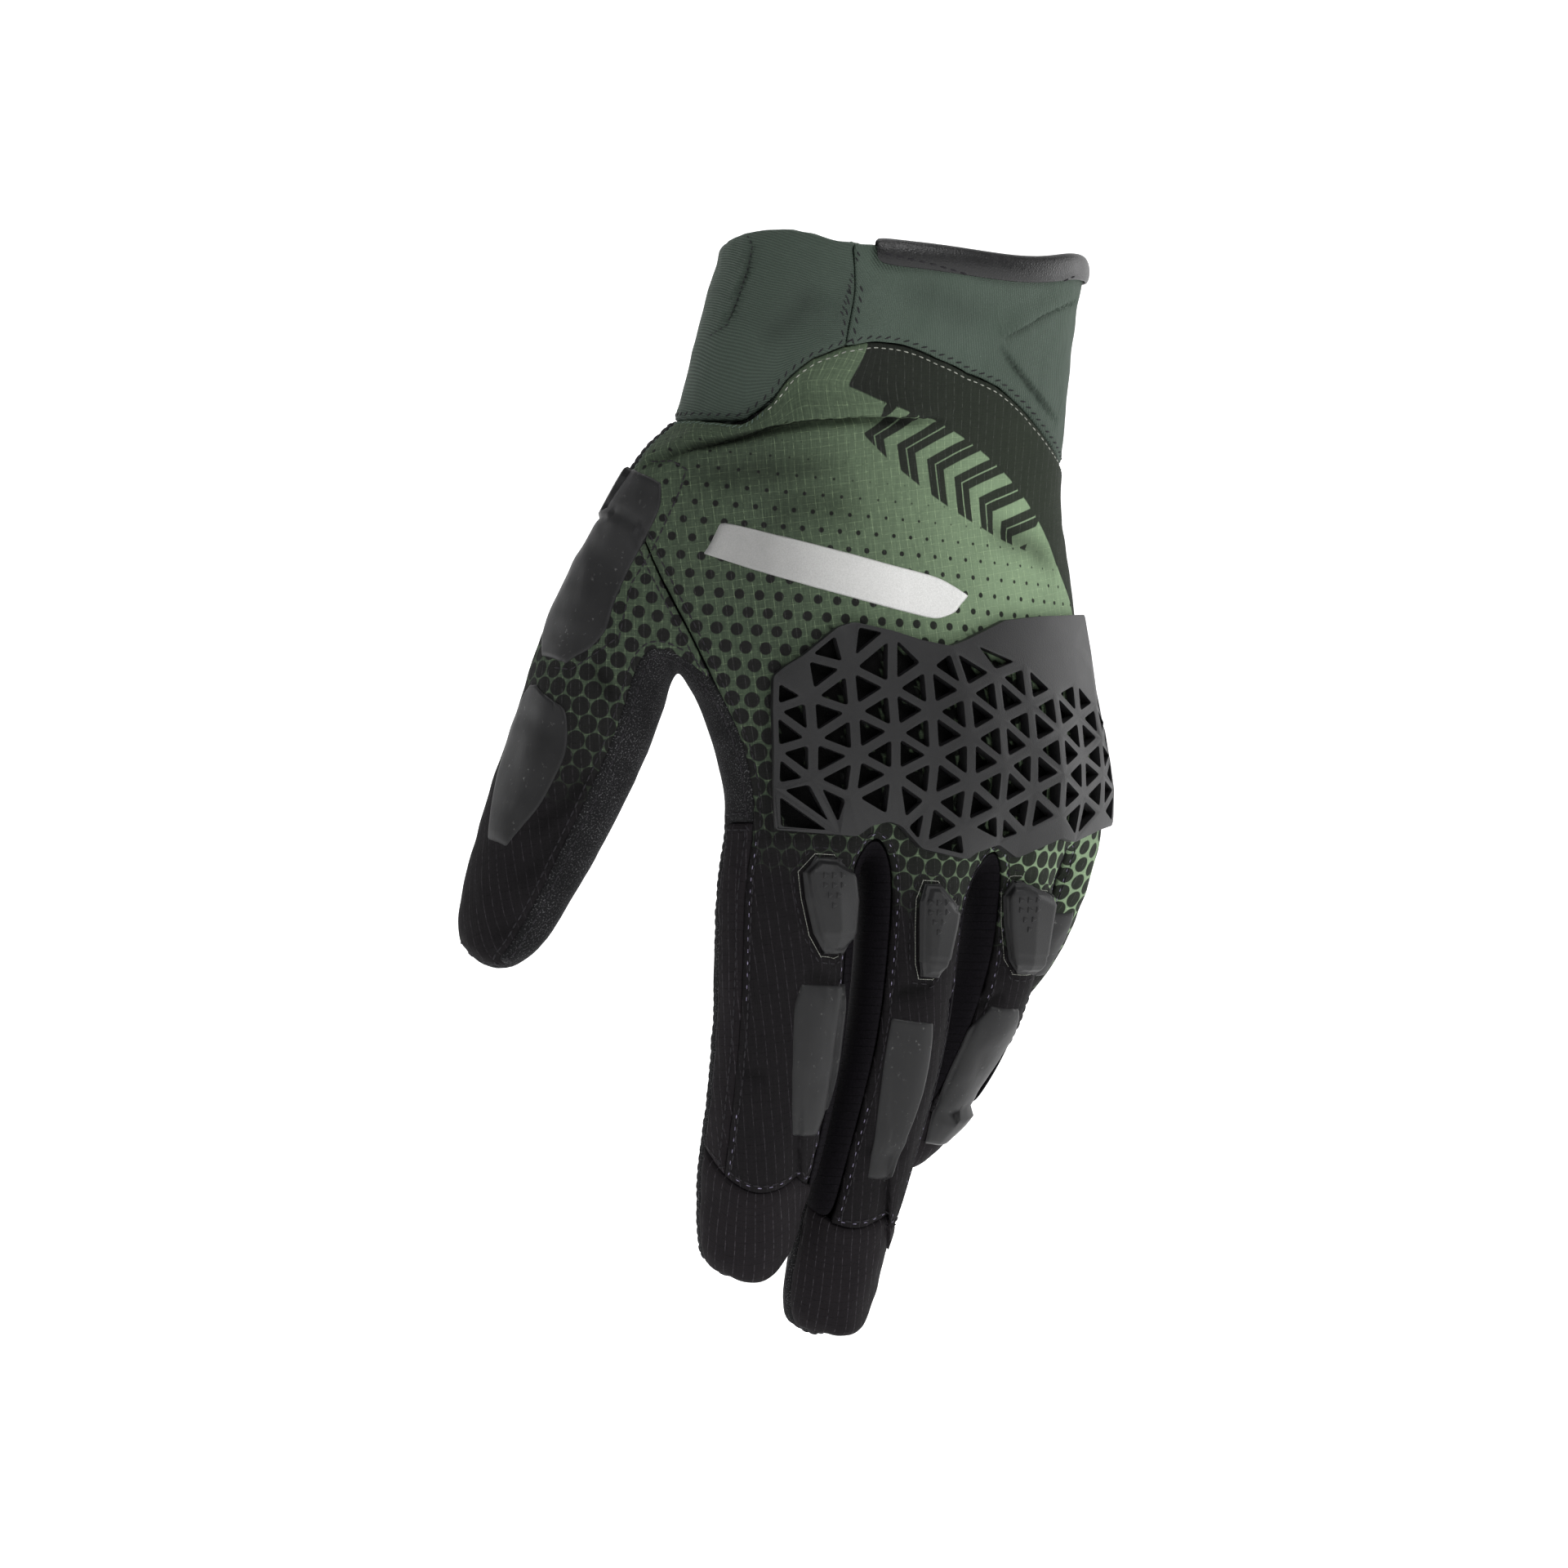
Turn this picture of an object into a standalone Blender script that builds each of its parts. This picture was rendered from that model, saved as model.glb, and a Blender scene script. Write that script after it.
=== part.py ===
"""A left-hand motorcycle glove, worn shape: fingers down, back of the hand towards -Y, thumb at -X.

One coarse cage holds the whole hand. Subdivision Surface smooths it, and each sewn panel is cut out of that
surface and given its cloth thickness. The rubber pieces lie on the panels. Metres, +Z up, and the origin is
the middle of the cuff's mouth, where the wrist goes in.
"""

import math

import bmesh
import bpy
from mathutils import Vector
from mathutils.bvhtree import BVHTree
from mathutils.geometry import delaunay_2d_cdt

MM = 0.001

# Driving sizes of the hand
HAND_WIDTH = 80 * MM
HAND_DEPTH = 30 * MM
CUFF_LENGTH = 36 * MM
HAND_LENGTH = 94 * MM
INDEX_LENGTH = 102 * MM
MIDDLE_LENGTH = 117 * MM
RING_LENGTH = 74 * MM
LITTLE_LENGTH = 48 * MM
THUMB_LENGTH = 88 * MM
FINGER_WIDTH = 24 * MM
THUMB_WIDTH = 30 * MM

# Cloth and seams
CLOTH_WALL = 1.3 * MM
SEAM_GAP = 0.5 * MM
LAY_GAP = 0.5 * MM
LAY_CLEAR = 0.4 * MM
SETTLE_ROUNDS = 14
CAGE_FULLNESS = 1.075

# Rubber and trim
PRINT_THICK = 0.9 * MM
INSERT_EDGE = 0.9 * MM
INSERT_THICK = 2.2 * MM
BADGE_THICK = 0.6 * MM
GUARD_SPAN = 100 * MM
GUARD_DROP = 92 * MM
GUARD_GAP = 0.8 * MM
GUARD_THICK = 1.8 * MM
GUARD_RISE = 1.4 * MM
STRUT_WIDTH = 1.7 * MM
HOLE_COLUMN = 7.4 * MM
HOLE_ROW = 8.6 * MM
RIM_WIDTH = 1.3 * MM
RIM_CLEAR = 3.2 * MM
LATTICE_START = 4.2 * MM
HOLE_LEAST = 4.0 * MM
BINDING_HEIGHT = 5.5 * MM
BINDING_ROUND = 1.0 * MM
BINDING_FIT = 0.4 * MM

MATERIALS = {
    "ripstop_print": ((0.075, 0.105, 0.065), 0.75),
    "ripstop_black": ((0.022, 0.021, 0.021), 0.7),
    "suede": ((0.05, 0.05, 0.052), 0.95),
    "stretch_knit": ((0.045, 0.062, 0.052), 0.8),
    "gusset_mesh": ((0.012, 0.011, 0.015), 0.85),
    "binding": ((0.01, 0.01, 0.011), 0.45),
    "moulded_rubber": ((0.03, 0.03, 0.032), 0.55),
    "printed_rubber": ((0.025, 0.025, 0.026), 0.6),
    "reflective": ((0.5, 0.5, 0.5), 0.5),
}

# Where the cage's columns stand across the hand, from the thumb side (0) to the little-finger side (1).
# Odd columns run down the middle of a finger, and even ones down the slit beside it.
COLUMNS = (0.05, 0.145, 0.285, 0.415, 0.55, 0.665, 0.77, 0.855, 0.945)
FINGERS = ("index", "middle", "ring", "little")

# Sections across the cuff and the hand. left, right and middle are places, as shares of HAND_WIDTH; back
# and palm are the depths of its two sides, as shares of HAND_DEPTH; yaw and arch are degrees; down is how
# far the section lies between the rows of heights named by span.
BODY_SECTIONS = (
    # span, down, left, right, middle, yaw, arch, back, palm, fullness
    ("cuff", 0.00, -0.480, 0.520, 0.000, 28, 10, 0.88, 0.88, 2.0),
    ("cuff", 0.42, -0.530, 0.475, 0.000, 28, 12, 0.84, 0.84, 2.0),
    ("cuff", 1.00, -0.620, 0.455, 0.000, 28, 18, 0.76, 0.76, 2.1),
    ("hand", 0.11, -0.715, 0.455, 0.000, 29, 24, 0.71, 0.73, 2.2),
    ("hand", 0.25, -0.820, 0.480, 0.005, 31, 32, 0.64, 0.68, 2.4),
    ("hand", 0.46, -0.700, 0.495, 0.015, 33, 42, 0.60, 0.62, 2.4),
    ("hand", 0.68, -0.570, 0.510, 0.040, 36, 50, 0.56, 0.58, 2.4),
    ("hand", 0.85, -0.500, 0.530, 0.060, 38, 56, 0.55, 0.55, 2.5),
    ("hand", 1.00, -0.480, 0.545, 0.080, 39, 60, 0.51, 0.51, 2.5),
)
THUMB_TOP = 4
SEAM_ROW = 2
TAB_COLUMN = 2

# Heights of three rows round the hand, at the columns of the back, the little-finger side, the columns of
# the palm (from the little finger to the thumb) and the thumb side: shares of the length that ends there.
MOUTH_RISE = (0.115, 0.06, -0.02, -0.04, -0.08, -0.10, -0.08, -0.03, -0.05, -0.04,
              -0.02, 0.0, 0.01, 0.01, 0.02, 0.02, 0.02, 0.02, 0.02, 0.03)
SEAM_DROP = (0.97, 0.99, 0.72, 0.57, 0.60, 0.78, 1.00, 1.22, 1.38, 1.40,
             1.25, 1.15, 1.08, 1.03, 1.00, 0.98, 0.97, 0.96, 0.96, 0.96)
WEB_DROP = (0.955, 0.960, 0.960, 0.98, 1.00, 1.01, 1.00, 0.98, 0.96, 0.95,
            1.00, 1.01, 1.03, 1.05, 1.06, 1.05, 1.02, 1.00, 0.97, 0.955)
WEB_DIP = 0.045
SLIT_DEPTH = 0.86

# Sections down each finger: places and half widths as shares of the finger's length and width.
FINGER_SECTIONS = {
    # down, lean, curl, across, depth
    "index": (
        (0.110, -0.010, 0.000, 0.660, 0.580),
        (0.260, -0.013, -0.012, 0.640, 0.560),
        (0.430, -0.022, -0.010, 0.615, 0.540),
        (0.600, -0.044, 0.008, 0.590, 0.520),
        (0.760, -0.072, 0.036, 0.530, 0.490),
        (0.890, -0.100, 0.070, 0.480, 0.450),
        (0.975, -0.118, 0.098, 0.340, 0.340),
    ),
    "middle": (
        (0.090, 0.000, 0.000, 0.510, 0.520),
        (0.240, -0.013, -0.003, 0.500, 0.510),
        (0.400, -0.030, 0.007, 0.500, 0.500),
        (0.560, -0.078, 0.025, 0.490, 0.490),
        (0.720, -0.118, 0.080, 0.480, 0.480),
        (0.860, -0.160, 0.112, 0.475, 0.460),
        (0.955, -0.167, 0.135, 0.400, 0.390),
    ),
    "ring": (
        (0.120, 0.000, 0.005, 0.455, 0.475),
        (0.280, -0.008, 0.022, 0.450, 0.470),
        (0.450, -0.055, 0.055, 0.450, 0.460),
        (0.610, -0.112, 0.118, 0.440, 0.450),
        (0.760, -0.195, 0.200, 0.425, 0.430),
        (0.890, -0.295, 0.272, 0.370, 0.370),
        (0.965, -0.330, 0.295, 0.240, 0.240),
    ),
    "little": (
        (0.130, 0.000, 0.025, 0.395, 0.420),
        (0.300, -0.035, 0.095, 0.385, 0.410),
        (0.460, -0.100, 0.180, 0.375, 0.400),
        (0.620, -0.190, 0.285, 0.365, 0.380),
        (0.770, -0.300, 0.390, 0.340, 0.350),
        (0.890, -0.385, 0.470, 0.290, 0.290),
        (0.960, -0.440, 0.520, 0.180, 0.180),
    ),
    "thumb": (
        (0.100, -0.003, -0.020, 0.545, 0.500),
        (0.310, -0.045, -0.033, 0.540, 0.480),
        (0.500, -0.125, -0.050, 0.510, 0.450),
        (0.700, -0.210, -0.066, 0.445, 0.410),
        (0.860, -0.275, -0.077, 0.360, 0.340),
        (0.965, -0.325, -0.090, 0.250, 0.230),
    ),
}
THUMB_YAW = -25
THUMB_ROOT = Vector((-0.765 * HAND_WIDTH, -0.19 * HAND_WIDTH, -0.38 * HAND_LENGTH - CUFF_LENGTH))
THUMB_START = (-0.25, 0.35, 0.08)
TIP_SECTION = 4

# Pieces that lie on the fingers: rows of (down the finger, from and to in degrees round it, from the back
# towards the little finger).
INSERTS = {
    "index": ((0.062, 10, 33), (0.100, -4, 50), (0.155, 0, 57), (0.232, 10, 57), (0.272, 18, 45)),
    "middle": ((0.090, -21, -2), (0.124, -35, 23), (0.165, -33, 21), (0.235, -27, 13), (0.262, -20, 4)),
    "ring": ((0.088, -42, -18), (0.130, -52, 18), (0.210, -49, 18), (0.310, -38, 17), (0.345, -28, 10)),
}
FINGER_PRINTS = {
    "index": ((0.330, 5, 56), (0.375, -3, 62), (0.500, 2, 62), (0.575, 7, 57), (0.640, 15, 48)),
    "middle": ((0.338, -44, 12), (0.370, -46, 16), (0.435, -44, 20), (0.540, -32, 17), (0.625, -25, 8)),
    "ring": ((0.440, -38, 10), (0.500, -54, 30), (0.630, -55, 36), (0.770, -48, 32), (0.840, -27, 15)),
    "little": ((0.292, -48, -6), (0.350, -48, 2), (0.420, -41, 5), (0.500, -33, 5), (0.567, -23, 2)),
}
THUMB_PRINTS = {
    "upper": ((-0.100, -34, 3), (-0.070, -58, 11), (-0.005, -64, 15), (0.045, -64, 18), (0.095, -64, 27),
              (0.165, -64, 26), (0.225, -60, 11), (0.265, -46, -12)),
    "lower": ((0.318, -52, -32), (0.350, -60, 3), (0.450, -64, 23), (0.590, -52, 19), (0.700, -32, -3)),
}
INSERT_SHARES = (0.0, 0.17, 0.5, 0.83, 1.0)
PRINT_SHARES = (0.0, 0.25, 0.5, 0.75, 1.0)
THUMB_PRINT_SHARES = (0.0, 0.2, 0.4, 0.6, 0.8, 1.0)

# The reflective badge: the two ends of each of its rows, as (across, down) on the hand.
BADGE_ROWS = (
    ((0.175, 0.288), (0.128, 0.352)),
    ((0.250, 0.354), (0.205, 0.422)),
    ((0.332, 0.407), (0.287, 0.488)),
    ((0.422, 0.449), (0.383, 0.532)),
    ((0.525, 0.466), (0.488, 0.556)),
    ((0.579, 0.490), (0.535, 0.536)),
)

# The knuckle guard's outline as (across, down) on the hand, clockwise from its upper left corner, and its
# lattice: columns of holes, each column half a row lower than the one before.
GUARD_OUTLINE = (
    (0.149, 0.641), (0.176, 0.625), (0.209, 0.611), (0.284, 0.569), (0.316, 0.561), (0.380, 0.584),
    (0.432, 0.604), (0.487, 0.609), (0.530, 0.590), (0.634, 0.524), (0.740, 0.478), (0.830, 0.435),
    (0.916, 0.395), (0.925, 0.500), (0.935, 0.600), (0.945, 0.700), (0.955, 0.800), (0.955, 0.890),
    (0.935, 0.955), (0.880, 0.985), (0.818, 0.981), (0.719, 0.995), (0.677, 0.981), (0.606, 1.011),
    (0.571, 1.030), (0.519, 1.007), (0.461, 1.031), (0.441, 1.047), (0.349, 1.038), (0.314, 0.995),
    (0.292, 0.988), (0.257, 0.999), (0.231, 1.022), (0.194, 1.019), (0.083, 1.011), (0.090, 0.910),
    (0.102, 0.821), (0.125, 0.720),
)
LATTICE_LEAN = 0.21
PLAIN_CORNER = (0.60, 0.61)
GUARD_PODS = (
    # across, down, reach across, reach down, rise as a share of GUARD_RISE
    (0.270, 0.830, 0.110, 0.20, 0.55),
    (0.500, 0.830, 0.100, 0.20, 0.90),
    (0.680, 0.820, 0.090, 0.20, 1.00),
    (0.850, 0.800, 0.080, 0.20, 0.70),
)

RING_ANGLES = (148, 90, 32, 0, -32, -90, -148, 180)


def section_point(section, share, side):
    """A point of a hand section: share runs across it; side is 1 on the back, 0 between, -1 on the palm."""
    _, _, left, right, middle, yaw, arch, back, palm, fullness = section
    start = math.radians(yaw - arch / 2)
    turn = math.radians(arch)
    end = start + turn
    radius = (right - left) * HAND_WIDTH / (math.sin(end) - math.sin(start))
    heading = start + turn * share
    x = left * HAND_WIDTH + radius * (math.sin(heading) - math.sin(start))
    y = middle * HAND_WIDTH + radius * (math.cos(start + turn / 2) - math.cos(heading))
    depth = (back if side > 0 else palm) * HAND_DEPTH
    depth *= (1 - abs(2 * share - 1) ** fullness) ** (1 / fullness)
    outward = Vector((math.sin(heading), -math.cos(heading)))
    return Vector((x, y)) + outward * depth * side


def section_ring(section):
    """The 20 points of a section: 9 of the back, the little-finger side, 9 of the palm, the thumb side."""
    points = [section_point(section, share, 1) for share in COLUMNS]
    points.append(section_point(section, 1, 0))
    points += [section_point(section, share, -1) for share in reversed(COLUMNS)]
    points.append(section_point(section, 0, 0))
    return points


def body_heights(span, down):
    """The heights of a section's 20 points."""
    mouth = [rise * CUFF_LENGTH for rise in MOUTH_RISE]
    seam = [-drop * CUFF_LENGTH for drop in SEAM_DROP]
    web = [-CUFF_LENGTH - drop * HAND_LENGTH for drop in WEB_DROP]
    upper, lower = (mouth, seam) if span == "cuff" else (seam, web)
    return [a + (b - a) * down for a, b in zip(upper, lower)]


def body_rings(mesh):
    """Vertices of the cuff's and the hand's sections, top to bottom."""
    rings = []
    for section in BODY_SECTIONS:
        heights = body_heights(section[0], section[1])
        ring = [
            mesh.verts.new((point.x, point.y, height))
            for point, height in zip(section_ring(section), heights)
        ]
        rings.append(ring)
    middle = section_ring(BODY_SECTIONS[-1])
    for slit in (2, 4, 6):
        for column in (slit, 18 - slit):
            vertex = rings[-1][column]
            centre = section_point(BODY_SECTIONS[-1], COLUMNS[slit], 0)
            vertex.co.x = centre.x + (middle[column].x - centre.x) * SLIT_DEPTH
            vertex.co.y = centre.y + (middle[column].y - centre.y) * SLIT_DEPTH
    return rings


def finger_frame(name):
    """A finger's root, length and yaw."""
    if name == "thumb":
        return THUMB_ROOT, THUMB_LENGTH, math.radians(THUMB_YAW)
    number = FINGERS.index(name)
    share = COLUMNS[2 * number + 1]
    section = BODY_SECTIONS[-1]
    centre = section_point(section, share, 0)
    height = -CUFF_LENGTH - WEB_DROP[2 * number + 1] * HAND_LENGTH
    length = (INDEX_LENGTH, MIDDLE_LENGTH, RING_LENGTH, LITTLE_LENGTH)[number]
    turned = math.radians(section[5] + section[6] * (share - 0.5))
    return Vector((centre.x, centre.y, height)), length, turned


def finger_ways(direction, yaw):
    """The ways sideways and out of the back, square to a finger's direction."""
    heading = Vector((math.cos(yaw), math.sin(yaw), 0))
    sideways = (heading - heading.dot(direction) * direction).normalized()
    return sideways, direction.cross(sideways)


def finger_rings(mesh, name, start):
    """All rings of a finger, each square to the line through its neighbours; the first one's is start.

    A ring has eight vertices, from the back's thumb-side corner over the back.
    """
    root, length, yaw = finger_frame(name)
    width = THUMB_WIDTH if name == "thumb" else FINGER_WIDTH
    sections = FINGER_SECTIONS[name]
    centres = [Vector((lean, curl, -down)) for down, lean, curl in (start, *(row[:3] for row in sections))]
    rings = []
    for i, (_, _, _, across, depth) in enumerate(sections):
        ahead = centres[min(i + 2, len(centres) - 1)]
        sideways, outward = finger_ways((ahead - centres[i]).normalized(), yaw)
        middle = root + centres[i + 1] * length
        ring = []
        for angle in RING_ANGLES:
            turn = math.radians(angle)
            offset = sideways * math.cos(turn) * across + outward * math.sin(turn) * depth
            ring.append(mesh.verts.new(middle + offset * width * CAGE_FULLNESS))
        rings.append(ring)
    return rings


class Cage:
    """The cage's faces, each marked with the panel that it belongs to."""

    def __init__(self):
        self.mesh = bmesh.new()
        self.panels = []

    def face(self, corners, panel):
        if panel not in self.panels:
            self.panels.append(panel)
        made = self.mesh.faces.new(corners)
        made.material_index = self.panels.index(panel)

    def bridge(self, upper, lower, panel_of):
        """Faces between two rings; panel_of gives the panel of each column, or None for a hole."""
        count = len(upper)
        for i in range(count):
            j = (i + 1) % count
            panel = panel_of(i)
            if panel:
                self.face((upper[i], lower[i], lower[j], upper[j]), panel)

    def cap(self, ring, panels):
        """Three faces that close a fingertip's last ring."""
        for corners, panel in zip(((0, 3, 2, 1), (0, 7, 4, 3), (4, 7, 6, 5)), panels):
            self.face([ring[i] for i in corners], panel)


def body_panel(row, column):
    """The panel of the cage face below section row and right of a column."""
    if row < SEAM_ROW:
        return "cuff" if TAB_COLUMN <= column <= 14 else "cuff_tab"
    if column in (18, 19) and THUMB_TOP <= row < THUMB_TOP + 2:
        return None
    if column == 19:
        return "palm_panel" if row >= THUMB_TOP + 2 else "back_panel"
    return "back_panel" if column <= 8 else "palm_panel"


def finger_panel(number, row, column):
    """The panel of a finger's cage face: number counts fingers from the index, row from the slit."""
    name = FINGERS[number]
    if row > TIP_SECTION:
        return f"{name}_tip" if column in (7, 0, 1, 2) else "palm_panel"
    if column in (0, 1):
        return "back_panel"
    if column in (4, 5):
        return "palm_panel"
    if column in (2, 3):
        if number == 3:
            return "back_panel" if column == 2 else "palm_panel"
        return f"gusset_{number + 1}"
    if number == 0:
        return "index_side" if column == 7 else "palm_panel"
    return f"gusset_{number}"


def thumb_panel(column):
    return "thumb_panel" if column in (0, 1, 6, 7) else "palm_panel"


def build_cage():
    cage = Cage()
    rings = body_rings(cage.mesh)
    for row in range(len(rings) - 1):
        cage.bridge(rings[row], rings[row + 1], lambda column: body_panel(row, column))
    last = rings[-1]
    webs = []
    for slit in (2, 4, 6):
        centre = section_point(BODY_SECTIONS[-1], COLUMNS[slit], 0)
        height = (last[slit].co.z + last[18 - slit].co.z) / 2 - WEB_DIP * HAND_LENGTH
        webs.append(cage.mesh.verts.new((centre.x, centre.y, height)))
    sides = [last[19], *webs, last[9]]
    for number, name in enumerate(FINGERS):
        first = 2 * number
        opening = [last[first], last[first + 1], last[first + 2], sides[number + 1]]
        opening += [last[16 - first], last[17 - first], last[18 - first], sides[number]]
        loops = [opening, *finger_rings(cage.mesh, name, (0, 0, 0))]
        for row in range(len(loops) - 1):
            cage.bridge(loops[row], loops[row + 1], lambda column: finger_panel(number, row, column))
        cage.cap(loops[-1], (f"{name}_tip", "palm_panel", "palm_panel"))
    upper, middle, lower = rings[THUMB_TOP : THUMB_TOP + 3]
    opening = [upper[0], middle[0], lower[0], lower[19], lower[18], middle[18], upper[18], upper[19]]
    loops = [opening, *finger_rings(cage.mesh, "thumb", THUMB_START)]
    for row in range(len(loops) - 1):
        cage.bridge(loops[row], loops[row + 1], thumb_panel)
    cage.cap(loops[-1], ("thumb_panel", "palm_panel", "palm_panel"))
    return cage


def smooth_form(cage):
    """The cage after one level of Subdivision Surface: the outer surface of all the panels."""
    data = bpy.data.meshes.new("hand_form")
    cage.mesh.normal_update()
    cage.mesh.to_mesh(data)
    form = bpy.data.objects.new("hand_form", data)
    for name in cage.panels:
        data.materials.append(None)
    guide_collection.objects.link(form)
    form.hide_render = True
    form.display_type = "WIRE"
    rounding = form.modifiers.new("rounding", "SUBSURF")
    rounding.levels = 1
    rounding.render_levels = 1
    return form


def evaluated_mesh(source):
    """A bmesh of an object with its modifiers."""
    graph = bpy.context.evaluated_depsgraph_get()
    mesh = bmesh.new()
    mesh.from_object(source, graph)
    mesh.normal_update()
    return mesh


def mix(a, b, share):
    return a + (b - a) * share


def hand_seat(across, down):
    """The middle of the hand and the way out of its back, at shares across and down from the seam."""
    rows = [row for row in BODY_SECTIONS if row[0] == "hand" or row[1] == 1]
    downs = [0] + [row[1] for row in rows[1:]]
    i = max(0, min(len(rows) - 2, sum(1 for value in downs if value <= down) - 1))
    share = (down - downs[i]) / (downs[i + 1] - downs[i])
    section = ["hand", down] + [mix(a, b, share) for a, b in zip(rows[i][2:], rows[i + 1][2:])]
    places = (0,) + COLUMNS + (1,)
    seam = (SEAM_DROP[19],) + SEAM_DROP[:10]
    web = (WEB_DROP[19],) + WEB_DROP[:10]
    j = max(0, min(len(places) - 2, sum(1 for value in places if value <= across) - 1))
    part = (across - places[j]) / (places[j + 1] - places[j])
    top = -mix(seam[j], seam[j + 1], part) * CUFF_LENGTH
    bottom = -CUFF_LENGTH - mix(web[j], web[j + 1], part) * HAND_LENGTH
    centre = section_point(section, across, 0)
    heading = math.radians(section[5] + section[6] * (across - 0.5))
    outward = Vector((math.sin(heading), -math.cos(heading), 0))
    return Vector((centre.x, centre.y, mix(top, bottom, down))), outward


def finger_seat(name, angle, down):
    """A finger's middle and a way out, at an angle from its back in degrees and a share down it."""
    root, length, yaw = finger_frame(name)
    rows = [THUMB_START if name == "thumb" else (0, 0, 0)] + [row[:3] for row in FINGER_SECTIONS[name]]
    i = max(0, min(len(rows) - 2, sum(1 for row in rows if row[0] <= down) - 1))
    share = (down - rows[i][0]) / (rows[i + 1][0] - rows[i][0])
    points = [Vector((lean, curl, -along)) for along, lean, curl in rows]
    before = points[max(i - 1, 0)].lerp(points[i], share)
    after = points[i + 1].lerp(points[min(i + 2, len(points) - 1)], share)
    sideways, back = finger_ways((after - before).normalized(), yaw)
    turn = math.radians(angle)
    outward = sideways * math.sin(turn) + back * math.cos(turn)
    return root + points[i].lerp(points[i + 1], share) * length, outward


def on_surface(seat):
    """Where a seat's way out leaves the hand's surface, and that way."""
    start, outward = seat
    return surface_tree.ray_cast(start, outward)[0], outward


def depth_under(point):
    """How far a point lies below the clearance that a laid-on piece keeps from the cloth."""
    nearest, normal, _, _ = surface_tree.find_nearest(point)
    return LAY_CLEAR - (point - nearest).dot(normal)


def settle(spots, faces, gap):
    """Heights at which the faces' corners clear the cloth: gap, and more where a face would sink."""
    heights = [gap] * len(spots)
    for _ in range(SETTLE_ROUNDS):
        places = [hit + outward * height for (hit, outward), height in zip(spots, heights)]
        raised = [0.0] * len(spots)
        for corners in faces:
            tests = [sum((places[i] for i in corners), Vector()) / len(corners)]
            tests += [(places[a] + places[b]) / 2 for a, b in zip(corners, corners[1:] + corners[:1])]
            need = max(depth_under(point) for point in tests)
            for i in corners:
                raised[i] = max(raised[i], need)
        if max(raised) <= 0:
            break
        heights = [height + more for height, more in zip(heights, raised)]
    return heights


def seam_shifts(faces):
    """How far each border vertex of a panel moves in its surface to leave half of the seam's gap."""
    inside = set(faces)
    pulls = {}
    for face in faces:
        for loop in face.loops:
            edge = loop.edge
            if sum(1 for other in edge.link_faces if other in inside) != 1:
                continue
            along = (loop.link_loop_next.vert.co - loop.vert.co).normalized()
            inward = face.normal.cross(along)
            for vertex in edge.verts:
                pulls.setdefault(vertex, []).append(inward)
    shifts = {}
    for vertex, inwards in pulls.items():
        total = sum(inwards, Vector()).normalized()
        spread = max(0.5, total.dot(inwards[0]))
        shifts[vertex] = total * (SEAM_GAP / 2 / spread)
    return shifts


def cut_panel(form, index, name, wall, material):
    """One sewn panel: its faces of the form, drawn back from the seams and thickened inwards."""
    faces = [face for face in form.faces if face.material_index == index]
    shifts = seam_shifts(faces)
    mesh = bmesh.new()
    outer = {}
    inner = {}
    for face in faces:
        for vertex in face.verts:
            if vertex not in outer:
                place = vertex.co + shifts.get(vertex, Vector())
                outer[vertex] = mesh.verts.new(place)
                inner[vertex] = mesh.verts.new(place - vertex.normal * wall)
    for face in faces:
        mesh.faces.new([outer[vertex] for vertex in face.verts])
        mesh.faces.new([inner[vertex] for vertex in reversed(face.verts)])
        for loop in face.loops:
            edge = loop.edge
            if sum(1 for other in edge.link_faces if other.material_index == index) == 1:
                a, b = loop.vert, loop.link_loop_next.vert
                mesh.faces.new((outer[b], outer[a], inner[a], inner[b]))
    return add_object(name, mesh, material)


def lay_strip(name, rows, seat, shares, edge, thick, material):
    """A piece that lies on the hand: each row runs between two places, edge is its height at the border."""
    wide = len(shares)
    spots = [
        on_surface(seat(mix(start[0], end[0], share), mix(start[1], end[1], share)))
        for start, end in rows
        for share in shares
    ]
    faces = [
        (i * wide + j, i * wide + j + 1, (i + 1) * wide + j + 1, (i + 1) * wide + j)
        for i in range(len(rows) - 1)
        for j in range(wide - 1)
    ]
    mesh = bmesh.new()
    lower = []
    upper = []
    for number, ((hit, outward), height) in enumerate(zip(spots, settle(spots, faces, LAY_GAP))):
        i, j = divmod(number, wide)
        border = i in (0, len(rows) - 1) or j in (0, wide - 1)
        lower.append(mesh.verts.new(hit + outward * height))
        upper.append(mesh.verts.new(hit + outward * (height + (edge if border else thick))))
    for corners in faces:
        mesh.faces.new([lower[i] for i in corners])
        mesh.faces.new([upper[i] for i in corners])
    rim = [edge for edge in mesh.edges if len(edge.link_faces) == 1]
    bmesh.ops.bridge_loops(mesh, edges=rim)
    return add_object(name, mesh, material)


def finger_rows(rows):
    """Rows of a finger table as pairs of places (angle, down)."""
    return [((start, down), (end, down)) for down, start, end in rows]


def on_finger(name):
    """The seat of one finger, for places given as (angle, down)."""
    return lambda angle, down: finger_seat(name, angle, down)


def guard_height(across, down):
    """How far the guard's outer face stands above its inner one."""
    rise = 0
    for pod_across, pod_down, reach_across, reach_down, share in GUARD_PODS:
        away = ((across - pod_across) / reach_across) ** 2 + ((down - pod_down) / reach_down) ** 2
        rise = max(rise, share * math.exp(-away))
    return GUARD_THICK + GUARD_RISE * rise


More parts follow.
